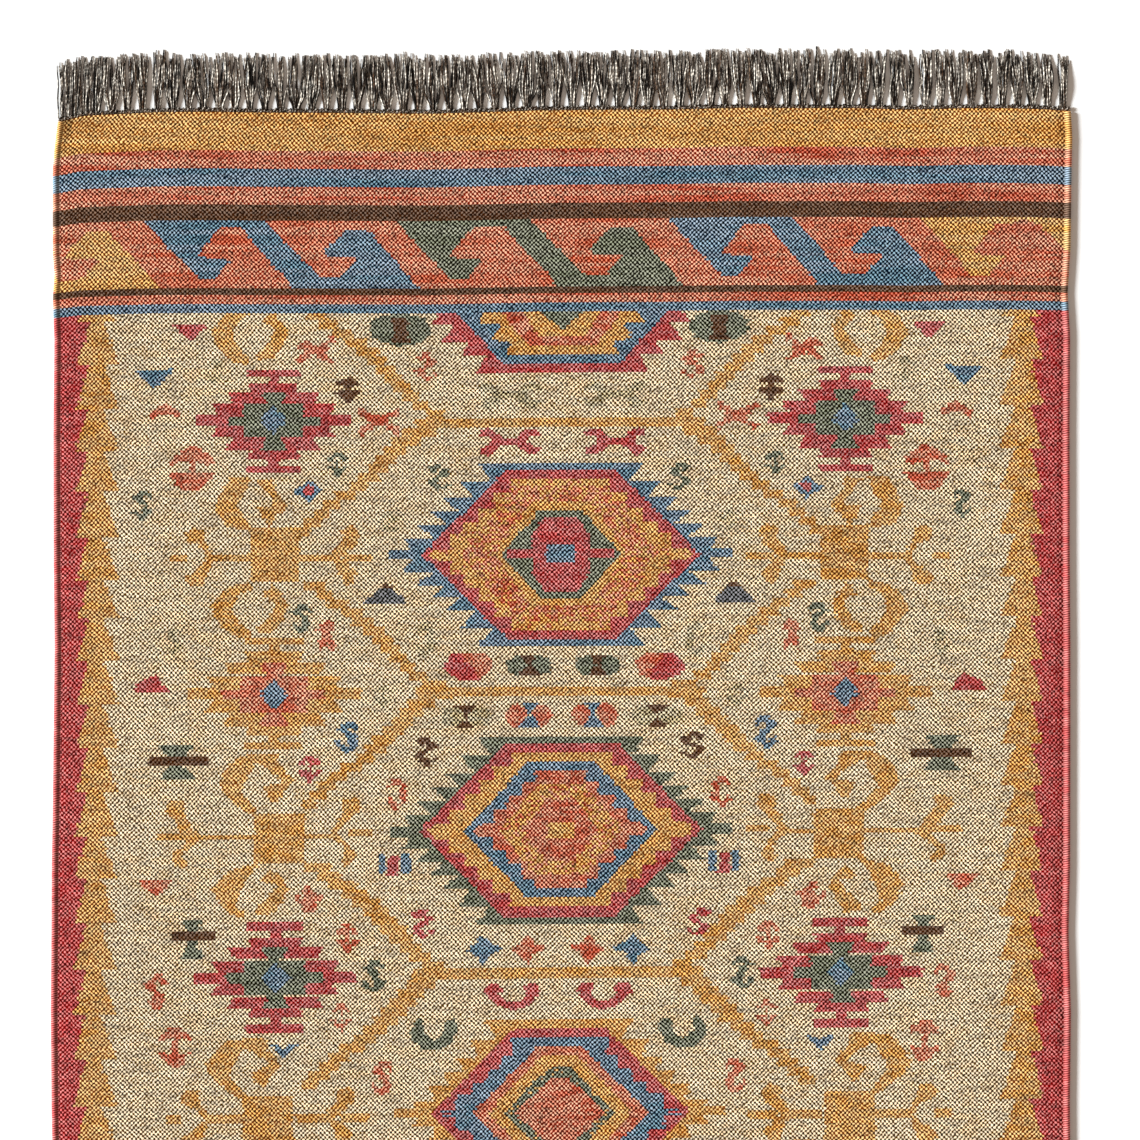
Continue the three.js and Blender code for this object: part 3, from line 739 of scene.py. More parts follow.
@dataclass
class KilimPattern:
    """Weaves the whole design of the rug: borders, side zigzags and field.

    Attributes:
        loom: the loom that it is woven on
        pitch: how far one medallion is from the next
        medallion_x: the medallions' middle line
        medallions: their centres' heights, top to bottom
        nodes: the heights where the lattice's arms meet
        stars: the stepped stars' centres, and how wide and high they are beside the first
        arm_end: how far across an arm's shift reaches
        node_x: where a node's two arms meet in a point
        arm_steps: how many wefts one stair of an arm has
        bar: the left, right and half height of the bar from a node to its twin
        tooth_x: the zigzag's outer and inner line between the teeth, and at their tips
        edge_x: a line outside the cloth's left edge
        zigzag_pitch: how long a saw tooth is, further down than the picture shows
        zigzag_end: where the last saw tooth starts, at the least
        near_border: how far from the near end the side strips stop
        repeated: between which heights the small figures come again further down
    """

    loom: Loom
    pitch: float = 279.0
    medallion_x: float = 561.0
    medallions: tuple = (554.0, 829.5, 1112.0, 1390.5)
    nodes: tuple = (422.0, 691.8, 972.2, 1251.0, 1530.0)
    stars: tuple = ((274, 419.5, 1, 1), (274, 692.7, 1.1, 1.07), (277.5, 974.5, 1.035, 1.05),
                    (274, 1252, 1.1, 1.07), (274, 1531, 1, 1))
    arm_end: float = 430.0
    node_x: float = 460.0
    arm_steps: int = 4
    bar: tuple = (415.0, 560.0, 4.8)
    tooth_x: tuple = ((89.0, 103.0), (76.5, 119.5))
    edge_x: float = 40.0
    zigzag_pitch: float = 43.6
    zigzag_end: float = 1500.0
    near_border: float = 196.0
    repeated: tuple = (590.0, 975.0)

    def weave(self) -> np.ndarray:
        """Weaves every layer in order, ground first.

        Returns:
            The dye of each crossing.
        """
        self.side_strips()
        self.lattice()
        for dye, outline in CUT_RINGS:
            self.loom.shape(outline, dye, mirror=562.0)
        x = self.medallion_x
        for number, y in enumerate(self.medallions):
            for dye, outline, share in MEDALLIONS[number % len(MEDALLIONS)]:
                self.loom.shape([(x + a, y + b) for a, b in outline], dye, mirror=x, share=share)
        for number, place in enumerate(self.stars):
            self.star(place, number % 2 == 1)
        for left, y, parts in SCROLLS:
            for part in parts:
                self.loom.shape([(left + a, y + b) for a, b in part], Dye.HONEY)
        self.small_figures()
        self.borders()
        self.loom.fray(FRAYED_SHARE)
        return self.loom.dyes

    def borders(self) -> None:
        """Weaves the far border's stripes and wave, and turns them over for the near end."""
        top = CHART_TOP_Y
        for bottom, dye in STRIPES:
            self.loom.band(top, bottom, dye)
            top = bottom
        self.waves()
        rows = int(np.searchsorted(self.loom.y, FIELD_TOP_Y))
        self.loom.dyes[-rows:] = self.loom.dyes[:rows][::-1]

    def waves(self) -> None:
        """Weaves the running wave: each dye hangs as a hook and stands up as the next one."""
        for start, shift, dye in HOOKS:
            outline = [(start + x + shift * share, WAVE_TOP_Y + y)
                       for share, corners in HOOK_PARTS for x, y in corners]
            self.loom.shape(outline, dye, twin=False)
        last_x = LAST_CREST[-1][0]
        over = [(LAST_CREST[0][0], WAVE_TOP_Y), *LAST_CREST, (last_x, WAVE_TOP_Y)]
        self.loom.shape(over, Dye.HONEY, twin=False)
        under = [(1010, 226), *LAST_CREST, (last_x, WAVE_FOOT_Y), (1060, WAVE_FOOT_Y)]
        self.loom.shape(under, Dye.CORAL, twin=False)

    def side_strips(self) -> None:
        """Weaves the red strip down each long edge, with its mustard zigzag of saw teeth."""
        steps = list(ZIGZAG_STEPS)
        while steps[-1] < self.zigzag_end:
            steps.append(steps[-1] + self.zigzag_pitch)
        top, bottom = FIELD_TOP_Y - 4, self.loom.bottom - self.near_border
        outer, inner = (
            [(narrow, top), *((x, step) for step in steps for x in (wide, narrow)), (wide, bottom)]
            for narrow, wide in zip(*self.tooth_x))
        edge = [(self.edge_x, bottom), (self.edge_x, top)]
        self.loom.shape([(x + 6, y) for x, y in outer] + edge, Dye.RED)
        self.loom.shape(outer + inner[::-1], Dye.HONEY)

    def lattice(self) -> None:
        """Weaves the mustard lattice that parts the field into compartments."""
        for y, shifts in zip(self.nodes, ARM_SHIFTS):
            for number, arm in enumerate((UPPER_ARM, LOWER_ARM)):
                left, right = ([(a + off * (a < self.arm_end), y + b) for a, b in edge]
                               for edge, off in zip(arm, shifts[2 * number:]))
                self.loom.shape([*left, (self.node_x, y), *right[::-1]], Dye.HONEY,
                                steps=self.arm_steps)
            start, stop, half = self.bar
            self.loom.shape(block(start, stop, y - half, y + half), Dye.HONEY)

    def star(self, place: tuple[float, float, float, float], warm: bool) -> None:
        """Weaves the stepped star of the side columns.

        Args:
            place: the centre, and how wide and high it is beside the first one
            warm: whether it is mustard with coral inside, or else crimson with green
        """
        x, y, wide, high = place
        dyes = (Dye.HONEY, Dye.CORAL) if warm else (Dye.CRIMSON, Dye.GREEN)
        for sign in (-1, 1):
            for dye, steps in zip(dyes, (STAR_STEPS, STAR_HEART)):
                for upper, top, lower, bottom in steps:
                    corners = ((-upper, top), (upper, top), (lower, bottom), (-lower, bottom))
                    self.loom.shape([(x + a * wide, y + sign * b * high)
                                     for a, b in corners], dye)
            self.loom.shape([(x + a * wide, y + sign * b * high) for a, b in STAR_EYE], Dye.BLUE)

    def small_figures(self) -> None:
        """Weaves the small figures, and repeats them where the picture ends."""
        for name, (left, right, top, bottom), dye in FIELD_FIGURES:
            for down in self._places(top):
                self.loom.stamp(FIGURES[name], (left, right, top + down, bottom + down), dye,
                                TWIN_SHIFTS.get((left, top), (0, 0)))
        for dye, rise in ((Dye.CRIMSON, 0.0), (Dye.OLIVE, 46.5)):
            self.loom.shape([(x, y - rise) for x, y in FORKS], dye, mirror=563.0)
        for dye, points in FIELD_SHAPES:
            for down in self._places(points[0][1]):
                self.loom.shape([(x, y + down) for x, y in points], dye,
                                shift=TWIN_SHIFTS.get(points[0], (0, 0)))

    def _places(self, top: float) -> tuple[float, ...]:
        """How far down a figure at this height is woven: once, or again two pitches on."""
        low, high = self.repeated
        return (0.0, 2 * self.pitch) if low < top < high else (0.0,)


class Sock:
    """A shader value that adds Math nodes when it is used in an expression."""

    def __init__(self, shader: "Shader", socket: bpy.types.NodeSocket) -> None:
        """Keeps the shader that owns the socket, and the socket."""
        self.shader = shader
        self.socket = socket

    def _math(self, operation: str, *values: object) -> "Sock":
        """Adds one Math node over these values and returns its result."""
        settings = {"operation": operation}
        return self.shader.node("ShaderNodeMath", settings, dict(enumerate(values)))

    def __add__(self, other: object) -> "Sock":
        """This value plus another."""
        return self._math("ADD", self, other)

    def __sub__(self, other: object) -> "Sock":
        """This value less another."""
        return self._math("SUBTRACT", self, other)

    def __rsub__(self, other: object) -> "Sock":
        """Another value less this one."""
        return self._math("SUBTRACT", other, self)

    def __mul__(self, other: object) -> "Sock":
        """This value times another."""
        return self._math("MULTIPLY", self, other)

    def __truediv__(self, other: object) -> "Sock":
        """This value divided by another."""
        return self._math("DIVIDE", self, other)

    def __mod__(self, other: object) -> "Sock":
        """What is left of this value over whole steps of another."""
        return self._math("MODULO", self, other)

    def __gt__(self, other: object) -> "Sock":
        """One where this value is above another, else nought."""
        return self._math("GREATER_THAN", self, other)

    def __lt__(self, other: object) -> "Sock":
        """One where this value is below another, else nought."""
        return self._math("LESS_THAN", self, other)

    __radd__ = __add__
    __rmul__ = __mul__

    def floor(self) -> "Sock":
        """The whole number at or below this value."""
        return self._math("FLOOR", self)

    def sine(self) -> "Sock":
        """The sine of this value."""
        return self._math("SINE", self)

    def between(self, low: float, high: float) -> "Sock":
        """A smooth rise from nought at low to one at high."""
        return self.shader.node("ShaderNodeMapRange", {"interpolation_type": "SMOOTHSTEP"},
                                {"Value": self, "From Min": low, "From Max": high})


class Shader:
    """One material's node tree, built by calls."""

    def __init__(self, name: str) -> None:
        """Makes an empty material with its output node.

        Args:
            name: the material's name
        """
        self.material = bpy.data.materials.new(name)
        self.material.use_nodes = True
        self.nodes = self.material.node_tree.nodes
        self.links = self.material.node_tree.links
        self.nodes.clear()
        self.output = self.nodes.new("ShaderNodeOutputMaterial")

    def node(self, kind: str, settings: dict, inputs: dict, output: object = 0) -> Sock:
        """Adds any node.

        Args:
            kind: the node's type
            settings: its properties, set first; "stops" are a colour ramp's stops
            inputs: a value or a link for each input, by name or number
            output: the name or number of the output that is returned
        Returns:
            That output, ready for an expression.
        """
        made = self.nodes.new(kind)
        for name, value in settings.items():
            if name == "stops":
                self._stops(made.color_ramp, value)
            else:
                setattr(made, name, value)
        for name, value in inputs.items():
            if isinstance(value, Sock):
                self.links.new(value.socket, made.inputs[name])
            else:
                made.inputs[name].default_value = value
        return Sock(self, made.outputs[output])

    def _stops(self, ramp: bpy.types.ColorRamp, stops: list) -> None:
        """Sets a colour ramp's stops.

        Args:
            ramp: the ramp
            stops: a place from 0 to 1 and a colour for each stop
        """
        while len(ramp.elements) > 1:
            ramp.elements.remove(ramp.elements[-1])
        ramp.elements[0].position, ramp.elements[0].color = stops[0]
        for place, colour in stops[1:]:
            ramp.elements.new(place).color = colour

    def mix(self, share: object, first: object, second: object, blend: str = "MIX") -> Sock:
        """Mixes two colours by a share from 0 to 1."""
        settings = {"data_type": "RGBA", "blend_type": blend}
        return self.node("ShaderNodeMix", settings, {0: share, 6: first, 7: second}, 2)

    def toned(self, colour: Sock, tone: Sock) -> Sock:
        """A colour made lighter or darker by a plain factor."""
        return self.mix(1.0, colour, self.vector(tone, tone, tone), "MULTIPLY")

    def vector(self, x: object, y: object, z: object = 0.0) -> Sock:
        """Joins three numbers in a vector."""
        return self.node("ShaderNodeCombineXYZ", {}, {0: x, 1: y, 2: z})

    def parts(self, vector: Sock) -> tuple[Sock, Sock, Sock]:
        """Takes a vector apart.

        Args:
            vector: the vector
        Returns:
            Its three numbers.
        """
        first = self.node("ShaderNodeSeparateXYZ", {}, {0: vector})
        outputs = first.socket.node.outputs
        return first, Sock(self, outputs[1]), Sock(self, outputs[2])

    def uv(self, name: str) -> Sock:
        """A piece's own UV map."""
        return self.node("ShaderNodeUVMap", {"uv_map": name}, {})

    def place(self) -> Sock:
        """Object coordinates, in metres."""
        return self.node("ShaderNodeTexCoord", {}, {}, "Object")

    def noise(self, vector: Sock, scale: float, detail: float = 2.0) -> Sock:
        """Soft noise from 0 to 1 about a mean of a half."""
        return self.node("ShaderNodeTexNoise", {}, {"Vector": vector, "Scale": scale,
                                                    "Detail": detail})

    def chance(self, vector: Sock) -> Sock:
        """A random number from 0 to 1 for each whole place."""
        return self.node("ShaderNodeTexWhiteNoise", {}, {"Vector": vector})

    def finish(self, colour: Sock, height: Sock, relief: float, strength: float,
               shine: dict[str, float]) -> bpy.types.Material:
        """Ends the tree with a Principled shader.

        Args:
            colour: the base colour
            height: the relief's height
            relief: how deep a height of 1 is, in metres
            strength: how far the relief turns the normal
            shine: plain values for the shader's other inputs
        Returns:
            The material.
        """
        bump = self.node("ShaderNodeBump", {}, {"Height": height, "Distance": relief,
                                                "Strength": strength})
        inputs = {"Base Color": colour, "Normal": bump, **shine}
        surface = self.node("ShaderNodeBsdfPrincipled", {}, inputs)
        self.links.new(surface.socket, self.output.inputs["Surface"])
        return self.material


@dataclass(frozen=True)
class WovenWool:
    """The cloth's finish: plain weave, one dye a crossing, streaky dye lots, painted light and shade.

    Attributes:
        plan: the cloth that it is for
        bead_from: where a bead's side starts, on the weave's wave from -1 to 1
        bead_to: where a bead is fully in the light
        uneven: how much the spinning's unevenness widens or narrows the beads
        wander: how far the lines of beads wander, in crossings
        relief: how high the beads stand, in metres
        selvedge_warps: how many warps the wrapped edge covers
        line: the painted shade of a dark line beside the left edge, as its middle and half width in
        warps, and its depth
        corner_line: how much each of them grows at the far corner
        corner: how many wefts down they have stopped growing
        border: how many wefts each end's border has
        border_run: how much longer the streaks run there, as a share taken off their scale
        streak: how fine the dye's streaks are, in turns a metre across and along
        streak_from: the noise's value where a streak starts and where it is full
        row: how fine the streaks of single wefts are, in turns a metre across and along
        lots: how fine the patches are where streaks are strong or weak, in turns a metre
        wear: how fine the worn patches are
        drawing: how fine the patches of tighter and looser weave are
        spinning: how fine the yarn's unevenness is
        wandering: how fine the wandering is, of the warps and of the wefts
        twill: how far the beads join into slanting lines, at least and at most
    """

    plan: ClothPlan
    bead_from: float = -0.24
    bead_to: float = 0.7
    uneven: float = 1.8
    wander: float = 1.1
    relief: float = 0.0009
    selvedge_warps: float = 3.3
    line: tuple = (2.65, 1.85, 0.24)
    corner_line: tuple = (2.2, 1.4, 0.3)
    corner: float = 24.0
    border: float = 88.8
    border_run: float = 0.9
    streak: tuple = (30.0, 60.0)
    streak_from: tuple = (0.44, 0.58)
    row: tuple = (18.0, 120.0)
    lots: float = 8.0
    wear: float = 2.6
    drawing: float = 42.0
    spinning: float = 330.0
    wandering: tuple = (95.0, 120.0)
    twill: tuple = (-0.12, 0.07)

    def material(self) -> bpy.types.Material:
        """Builds the shader.

        The chart's vector holds one face's crossings: the weft number picks its part, and the
        warp number the digit, which picks the dye in each colour ramp.

        Returns:
            The material.
        """
        shader = Shader("kilim_wool")
        u, v, _ = shader.parts(shader.uv("weave"))
        code = self._code(shader, u, v)
        bead, gap, drift = (self._ramp(shader, code, part) for part in ("bead", "gap", "drift"))
        place = shader.place()
        x, y, _ = shader.parts(place)
        bordered = (v < self.border) + (v > self.plan.wefts - self.border)
        run = x * (1 - bordered * self.border_run)
        stretched, rows = (shader.vector(run * across, y * along)
                           for across, along in (self.streak, self.row))
        row = shader.noise(rows, 1.0, 1.0) - 0.5
        streak = (shader.noise(stretched, 1.0, 2.0) + row * 0.6).between(*self.streak_from)
        lot = shader.noise(place, self.lots, 2.0).between(0.36, 0.66)
        warp, weft = (line + (shader.noise(place, fine, 1.0) - 0.5) * self.wander
                      for line, fine in zip((u, v), self.wandering))
        chance = shader.chance(shader.vector(warp.floor(), weft.floor()))
        bead = shader.mix(streak * (0.45 + lot * 0.55) + (chance - 0.5) * 0.2, bead, drift)
        spun = shader.noise(place, self.spinning, 1.0) - 0.5
        drawn = shader.noise(place, self.drawing, 1.0).between(0.35, 0.65)
        twill = self.twill[0] + drawn * (self.twill[1] - self.twill[0])
        turns = [(part + half) * np.pi for half in (0.0, 0.5) for part in (warp, weft)]
        weave = ((turns[0].sine() * turns[1].sine() + turns[2].sine() * turns[3].sine() * twill)
                 * (0.44 + chance * 0.7 + drawn * 0.42) + spun * self.uneven)
        wrapped = (u < self.selvedge_warps) + (u > self.plan.warps - self.selvedge_warps)
        thread = (v * np.pi * 2.0 + u * 1.3).sine()
        plump = shader.parts(bead)[1].between(0.45, 0.8) * 0.11
        weave = (weave + plump) * (1 - wrapped) + (thread * 0.5 + 0.35) * wrapped
        light = weave.between(self.bead_from, self.bead_to)
        worn = shader.noise(place, self.wear, 3.0).between(0.3, 0.7)
        tone = 0.9 + chance * 0.2 + worn * 0.08 + drawn * 0.06 + row * 1.1
        # Painted light and shade: bead colour on the crowns, the dark gap colour in the hollows.
        colour = shader.mix(light, shader.toned(gap, 0.3 + chance * 1.4),
                            shader.toned(bead, tone))
        # Painted shade: a dark line beside the left selvedge, wider and deeper at the far corner.
        colour = shader.toned(colour, self._edge_shade(u, v))
        return shader.finish(colour, light, self.relief, 0.35,
                             {"Roughness": 1.0, "Specular IOR Level": 0.0})

    def _edge_shade(self, u: Sock, v: Sock) -> Sock:
        """The light left by the painted shade beside the left selvedge, from 0 to 1.

        Args:
            u: the warp number
            v: the weft number
        Returns:
            The factor that the colour is multiplied by.
        """
        corner = 1 - (v / self.corner).between(0.0, 1.0)
        middle, half_width, depth = (least + corner * more
                                     for least, more in zip(self.line, self.corner_line))
        away = (u - middle) / half_width
        return 1 - (1 - away * away).between(0.0, 1.0) * depth

    def _code(self, shader: Shader, u: Sock, v: Sock) -> Sock:
        """Reads the dye at a crossing from the chart's packed vector.

        Args:
            shader: the shader that it is for
            u: the warp number
            v: the weft number
        Returns:
            The dye's place on a colour ramp.
        """
        chart = shader.node("ShaderNodeAttribute", {"attribute_name": "chart"}, {}, "Vector")
        first, second, third = shader.parts(chart)
        row = (v % self.plan.wefts_a_face).floor()
        column = (u % self.plan.warps_a_face).floor()
        low, high = row < 0.5, row > 1.5
        value = first * low + third * high + second * (1 - low - high)
        for step in range(1, self.plan.warps_a_face):
            value = value * (1 - (column > step - 0.5) * (1 - 1 / CODE_BASE))
        return (value.floor() % CODE_BASE + 0.5) / CODE_BASE

    def _ramp(self, shader: Shader, code: Sock, part: str) -> Sock:
        """Picks the crossing's colour from a ramp of plain steps, one for each dye.

        Args:
            shader: the shader that it is for
            code: the dye's place on the ramp
            part: which of a yarn's colours
        Returns:
            The colour.
        """
        stops = [(dye / CODE_BASE, linear(getattr(YARNS[dye], part))) for dye in Dye]
        ramp = shader.node("ShaderNodeValToRGB", {"stops": stops}, {"Fac": code})
        ramp.socket.node.color_ramp.interpolation = "CONSTANT"
        return ramp


@dataclass(frozen=True)
class WarpYarn:
    """The finish of the fringe: dark undyed wool, two-ply, with pale hairs.

    Attributes:
        dark: the painted shade in the twist's hollow
        body: the colour of the yarn
        pale: the colour of its hairs
        ply: how far along the yarn one turn of the twist is, in metres
        hair: how fine the pale hairs are, for each turn around and each metre along
        hair_from: the noise's value where a hair starts and where it is full
        hair_share: how far a hair covers the yarn in the hollow, and how much more on the crown
        uneven: how fine the spinning's unevenness is, in turns a metre
        relief: how high the twist stands, in metres
    """

    dark: tuple = (4, 1, 0)
    body: tuple = (58, 45, 34)
    pale: tuple = (255, 245, 230)
    ply: float = 0.0062
    hair: tuple = (5.0, 34.0)
    hair_from: tuple = (0.52, 0.6)
    hair_share: tuple = (0.33, 0.53)
    uneven: float = 90.0
    relief: float = 0.0007

    def material(self) -> bpy.types.Material:
        """Builds the shader: a slanted twist, painted shade in its hollows, flecks, and yarn tints.

        Returns:
            The material.
        """
        shader = Shader("warp_yarn")
        around, along, _ = shader.parts(shader.uv("yarn"))
        place = shader.place()
        uneven = shader.noise(place, self.uneven, 2.0)
        twist = ((along / self.ply + around + uneven * 2.0) * (2 * np.pi)).sine()
        drawn = shader.vector(around * self.hair[0], along * self.hair[1])
        fleck = shader.noise(drawn, 1.0, 1.0).between(*self.hair_from)
        tint = shader.node("ShaderNodeAttribute", {"attribute_name": "tint"}, {}, "Vector")
        raised = twist.between(-0.5, 0.9)
        # Painted shade: the colour falls to the dark colour in the twist's hollows.
        colour = shader.mix(raised * 0.7 + 0.3, linear(self.dark), linear(self.body))
        colour = shader.mix(1.0, colour, tint, "MULTIPLY")
        # Pale hairs, laid on more thickly on the twist's crown as a painted highlight.
        cover = raised * self.hair_share[1] + self.hair_share[0]
        colour = shader.mix(fleck * cover, colour, linear(self.pale))
        return shader.finish(colour, raised, self.relief, 0.6,
                             {"Roughness": 0.9, "Specular IOR Level": 0.15})


@dataclass(frozen=True)
class FloorPaint:
    """The finish of the plain pale floor.

    Attributes:
        colour: its display colour
    """

    colour: tuple = (236, 236, 236)

    def material(self) -> bpy.types.Material:
        """Builds a matt shader with a very slight mottle.

        Returns:
            The material.
        """
        shader = Shader("pale_floor")
        mottle = shader.noise(shader.place(), 3.0, 2.0)
        first = linear(self.colour)
        second = linear(tuple(c - 1 for c in self.colour))
        return shader.finish(shader.mix(mottle, first, second), mottle, 0.0001, 0.05,
                             {"Roughness": 0.9, "Specular IOR Level": 0.1})


def add_mesh(name: str, points: np.ndarray, quads: np.ndarray, uv_name: str,
             uvs: np.ndarray, material: bpy.types.Material) -> bpy.types.Object:
    """Makes one smooth piece of four-cornered faces at the origin, riding on the root body.

    Args:
        name: the piece's name
        points: the vertices, in millimetres
        quads: four vertex numbers a face, a repeated last one for a triangle
        uv_name: the name of its UV map
        uvs: two coordinates for each corner of each face
        material: what it is dressed in
    Returns:
        The new object.
    """
    mesh = bpy.data.meshes.new(name)
    kept = np.ones(quads.shape, bool)
    kept[:, 3] = quads[:, 3] != quads[:, 2]
    corners = kept.sum(axis=1)
    starts = np.concatenate([[0], np.cumsum(corners)[:-1]])
    mesh.vertices.add(len(points))
    mesh.vertices.foreach_set("co", (points * MM).astype(np.float32).ravel())
    mesh.loops.add(int(corners.sum()))
    mesh.loops.foreach_set("vertex_index", quads[kept].astype(np.int32))
    mesh.polygons.add(len(quads))
    mesh.polygons.foreach_set("loop_start", starts.astype(np.int32))
    mesh.update(calc_edges=True)
    layer = mesh.uv_layers.new(name=uv_name)
    layer.data.foreach_set("uv", uvs.reshape(*quads.shape, 2)[kept].astype(np.float32).ravel())
    mesh.polygons.foreach_set("use_smooth", np.ones(len(quads), bool))
    mesh.materials.append(material)
    mesh.validate()
    piece = bpy.data.objects.new(name, mesh)
    bpy.context.scene.collection.objects.link(piece)
    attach(piece, ROOT)
    return piece


def mark_faces(piece: bpy.types.Object, name: str, values: np.ndarray) -> None:
    """Gives each face of a piece a vector that its shader reads by this name."""
    attribute = piece.data.attributes.new(name, "FLOAT_VECTOR", "FACE")
    attribute.data.foreach_set("vector", values.astype(np.float32).ravel())


@dataclass
class KilimCloth:
    """The woven cloth with its wrapped selvedges, one closed sheet.

    Attributes:
        plan: its outline and thickness
        finish: what it is dressed in
        end_rows: where the mesh has extra lines at an end, in wefts from it
    """

    plan: ClothPlan
    finish: WovenWool
    end_rows: tuple = (0.0, 0.15, 0.4, 0.9)

    def lines(self) -> tuple[np.ndarray, np.ndarray]:
        """The warp and weft numbers where the mesh has its lines.

        Returns:
            The warp numbers across, with the selvedge's profile, and the weft numbers down.
        """
        plan = self.plan
        edges = np.asarray(plan.selvedge[0]) * plan.warps / (2 * plan.half_width)
        lines = []
        for count, step, rim in ((plan.warps, plan.warps_a_face, edges),
                                 (plan.wefts, plan.wefts_a_face, np.asarray(self.end_rows))):
            every = np.concatenate([rim, np.arange(0.0, count + 1, step), count - rim])
            lines.append(np.unique(every.round(5)))
        return lines[0], lines[1]

    def build(self, chart: np.ndarray) -> bpy.types.Object:
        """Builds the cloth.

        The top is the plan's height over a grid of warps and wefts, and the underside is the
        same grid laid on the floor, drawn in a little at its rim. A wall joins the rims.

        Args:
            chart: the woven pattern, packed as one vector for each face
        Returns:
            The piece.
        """
        u, v = self.lines()
        grid_u, grid_v = np.meshgrid(u, v)
        across = (grid_u / self.plan.warps - 0.5) * 2 * self.plan.half_width
        along = (0.5 - grid_v / self.plan.wefts) * self.plan.length
        down = self.plan.length / 2 - along
        tilt = np.interp(down, *self.plan.weft_drift) * across / self.plan.half_width
        x, y = self.plan.plan_point(across, along + tilt)
        top = np.stack([x, y, self.plan.height(across, along)], axis=-1)
        inset = self.plan.underside_inset
        in_across = np.clip(across, inset - self.plan.half_width, self.plan.half_width - inset)
        half = self.plan.length / 2 - inset
        low_x, low_y = self.plan.plan_point(in_across, np.clip(along + tilt, -half, half))
        under = np.stack([low_x, low_y, np.zeros_like(x)], axis=-1)
        points = np.concatenate([top.reshape(-1, 3), under.reshape(-1, 3)])
        quads, uvs = self._faces(u, v)
        piece = add_mesh("kilim_cloth", points, quads, "weave", uvs, self.finish.material())
        cell = uvs.mean(axis=1) // (self.plan.warps_a_face, self.plan.wefts_a_face)
        column, row = cell.astype(np.int64).T
        last_row, last_column = chart.shape[0] - 1, chart.shape[1] - 1
        mark_faces(piece, "chart", chart[np.clip(row, 0, last_row),
                                         np.clip(column, 0, last_column)])
        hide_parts("woven_cloth")
        return piece

    def _faces(self, u: np.ndarray, v: np.ndarray) -> tuple[np.ndarray, np.ndarray]:
        """Joins the two grids: the top, the underside turned over, and the wall.

        Args:
            u: the warp numbers of the grid's columns
            v: the weft numbers of its rows
        Returns:
            The faces, and the warp and weft number at each of their corners.
        """
        rows, columns = len(v), len(u)
        number = np.arange(rows * columns).reshape(rows, columns)
        a, b = number[:-1, :-1].ravel(), number[:-1, 1:].ravel()
        c, d = number[1:, 1:].ravel(), number[1:, :-1].ravel()
        top = np.stack([a, d, c, b], axis=1)
        under = np.stack([a, b, c, d], axis=1)
        rim = np.concatenate([number[0], number[1:, -1], number[-1, -2::-1],
                              number[-2:0:-1, 0]])
        after = np.roll(rim, -1)
        count = rows * columns
        wall = np.stack([rim, after, after + count, rim + count], axis=1)
        faces = np.concatenate([top, under + count, wall])
        flat = faces % count
        return faces, np.stack([u[flat % columns], v[flat // columns]], axis=-1)


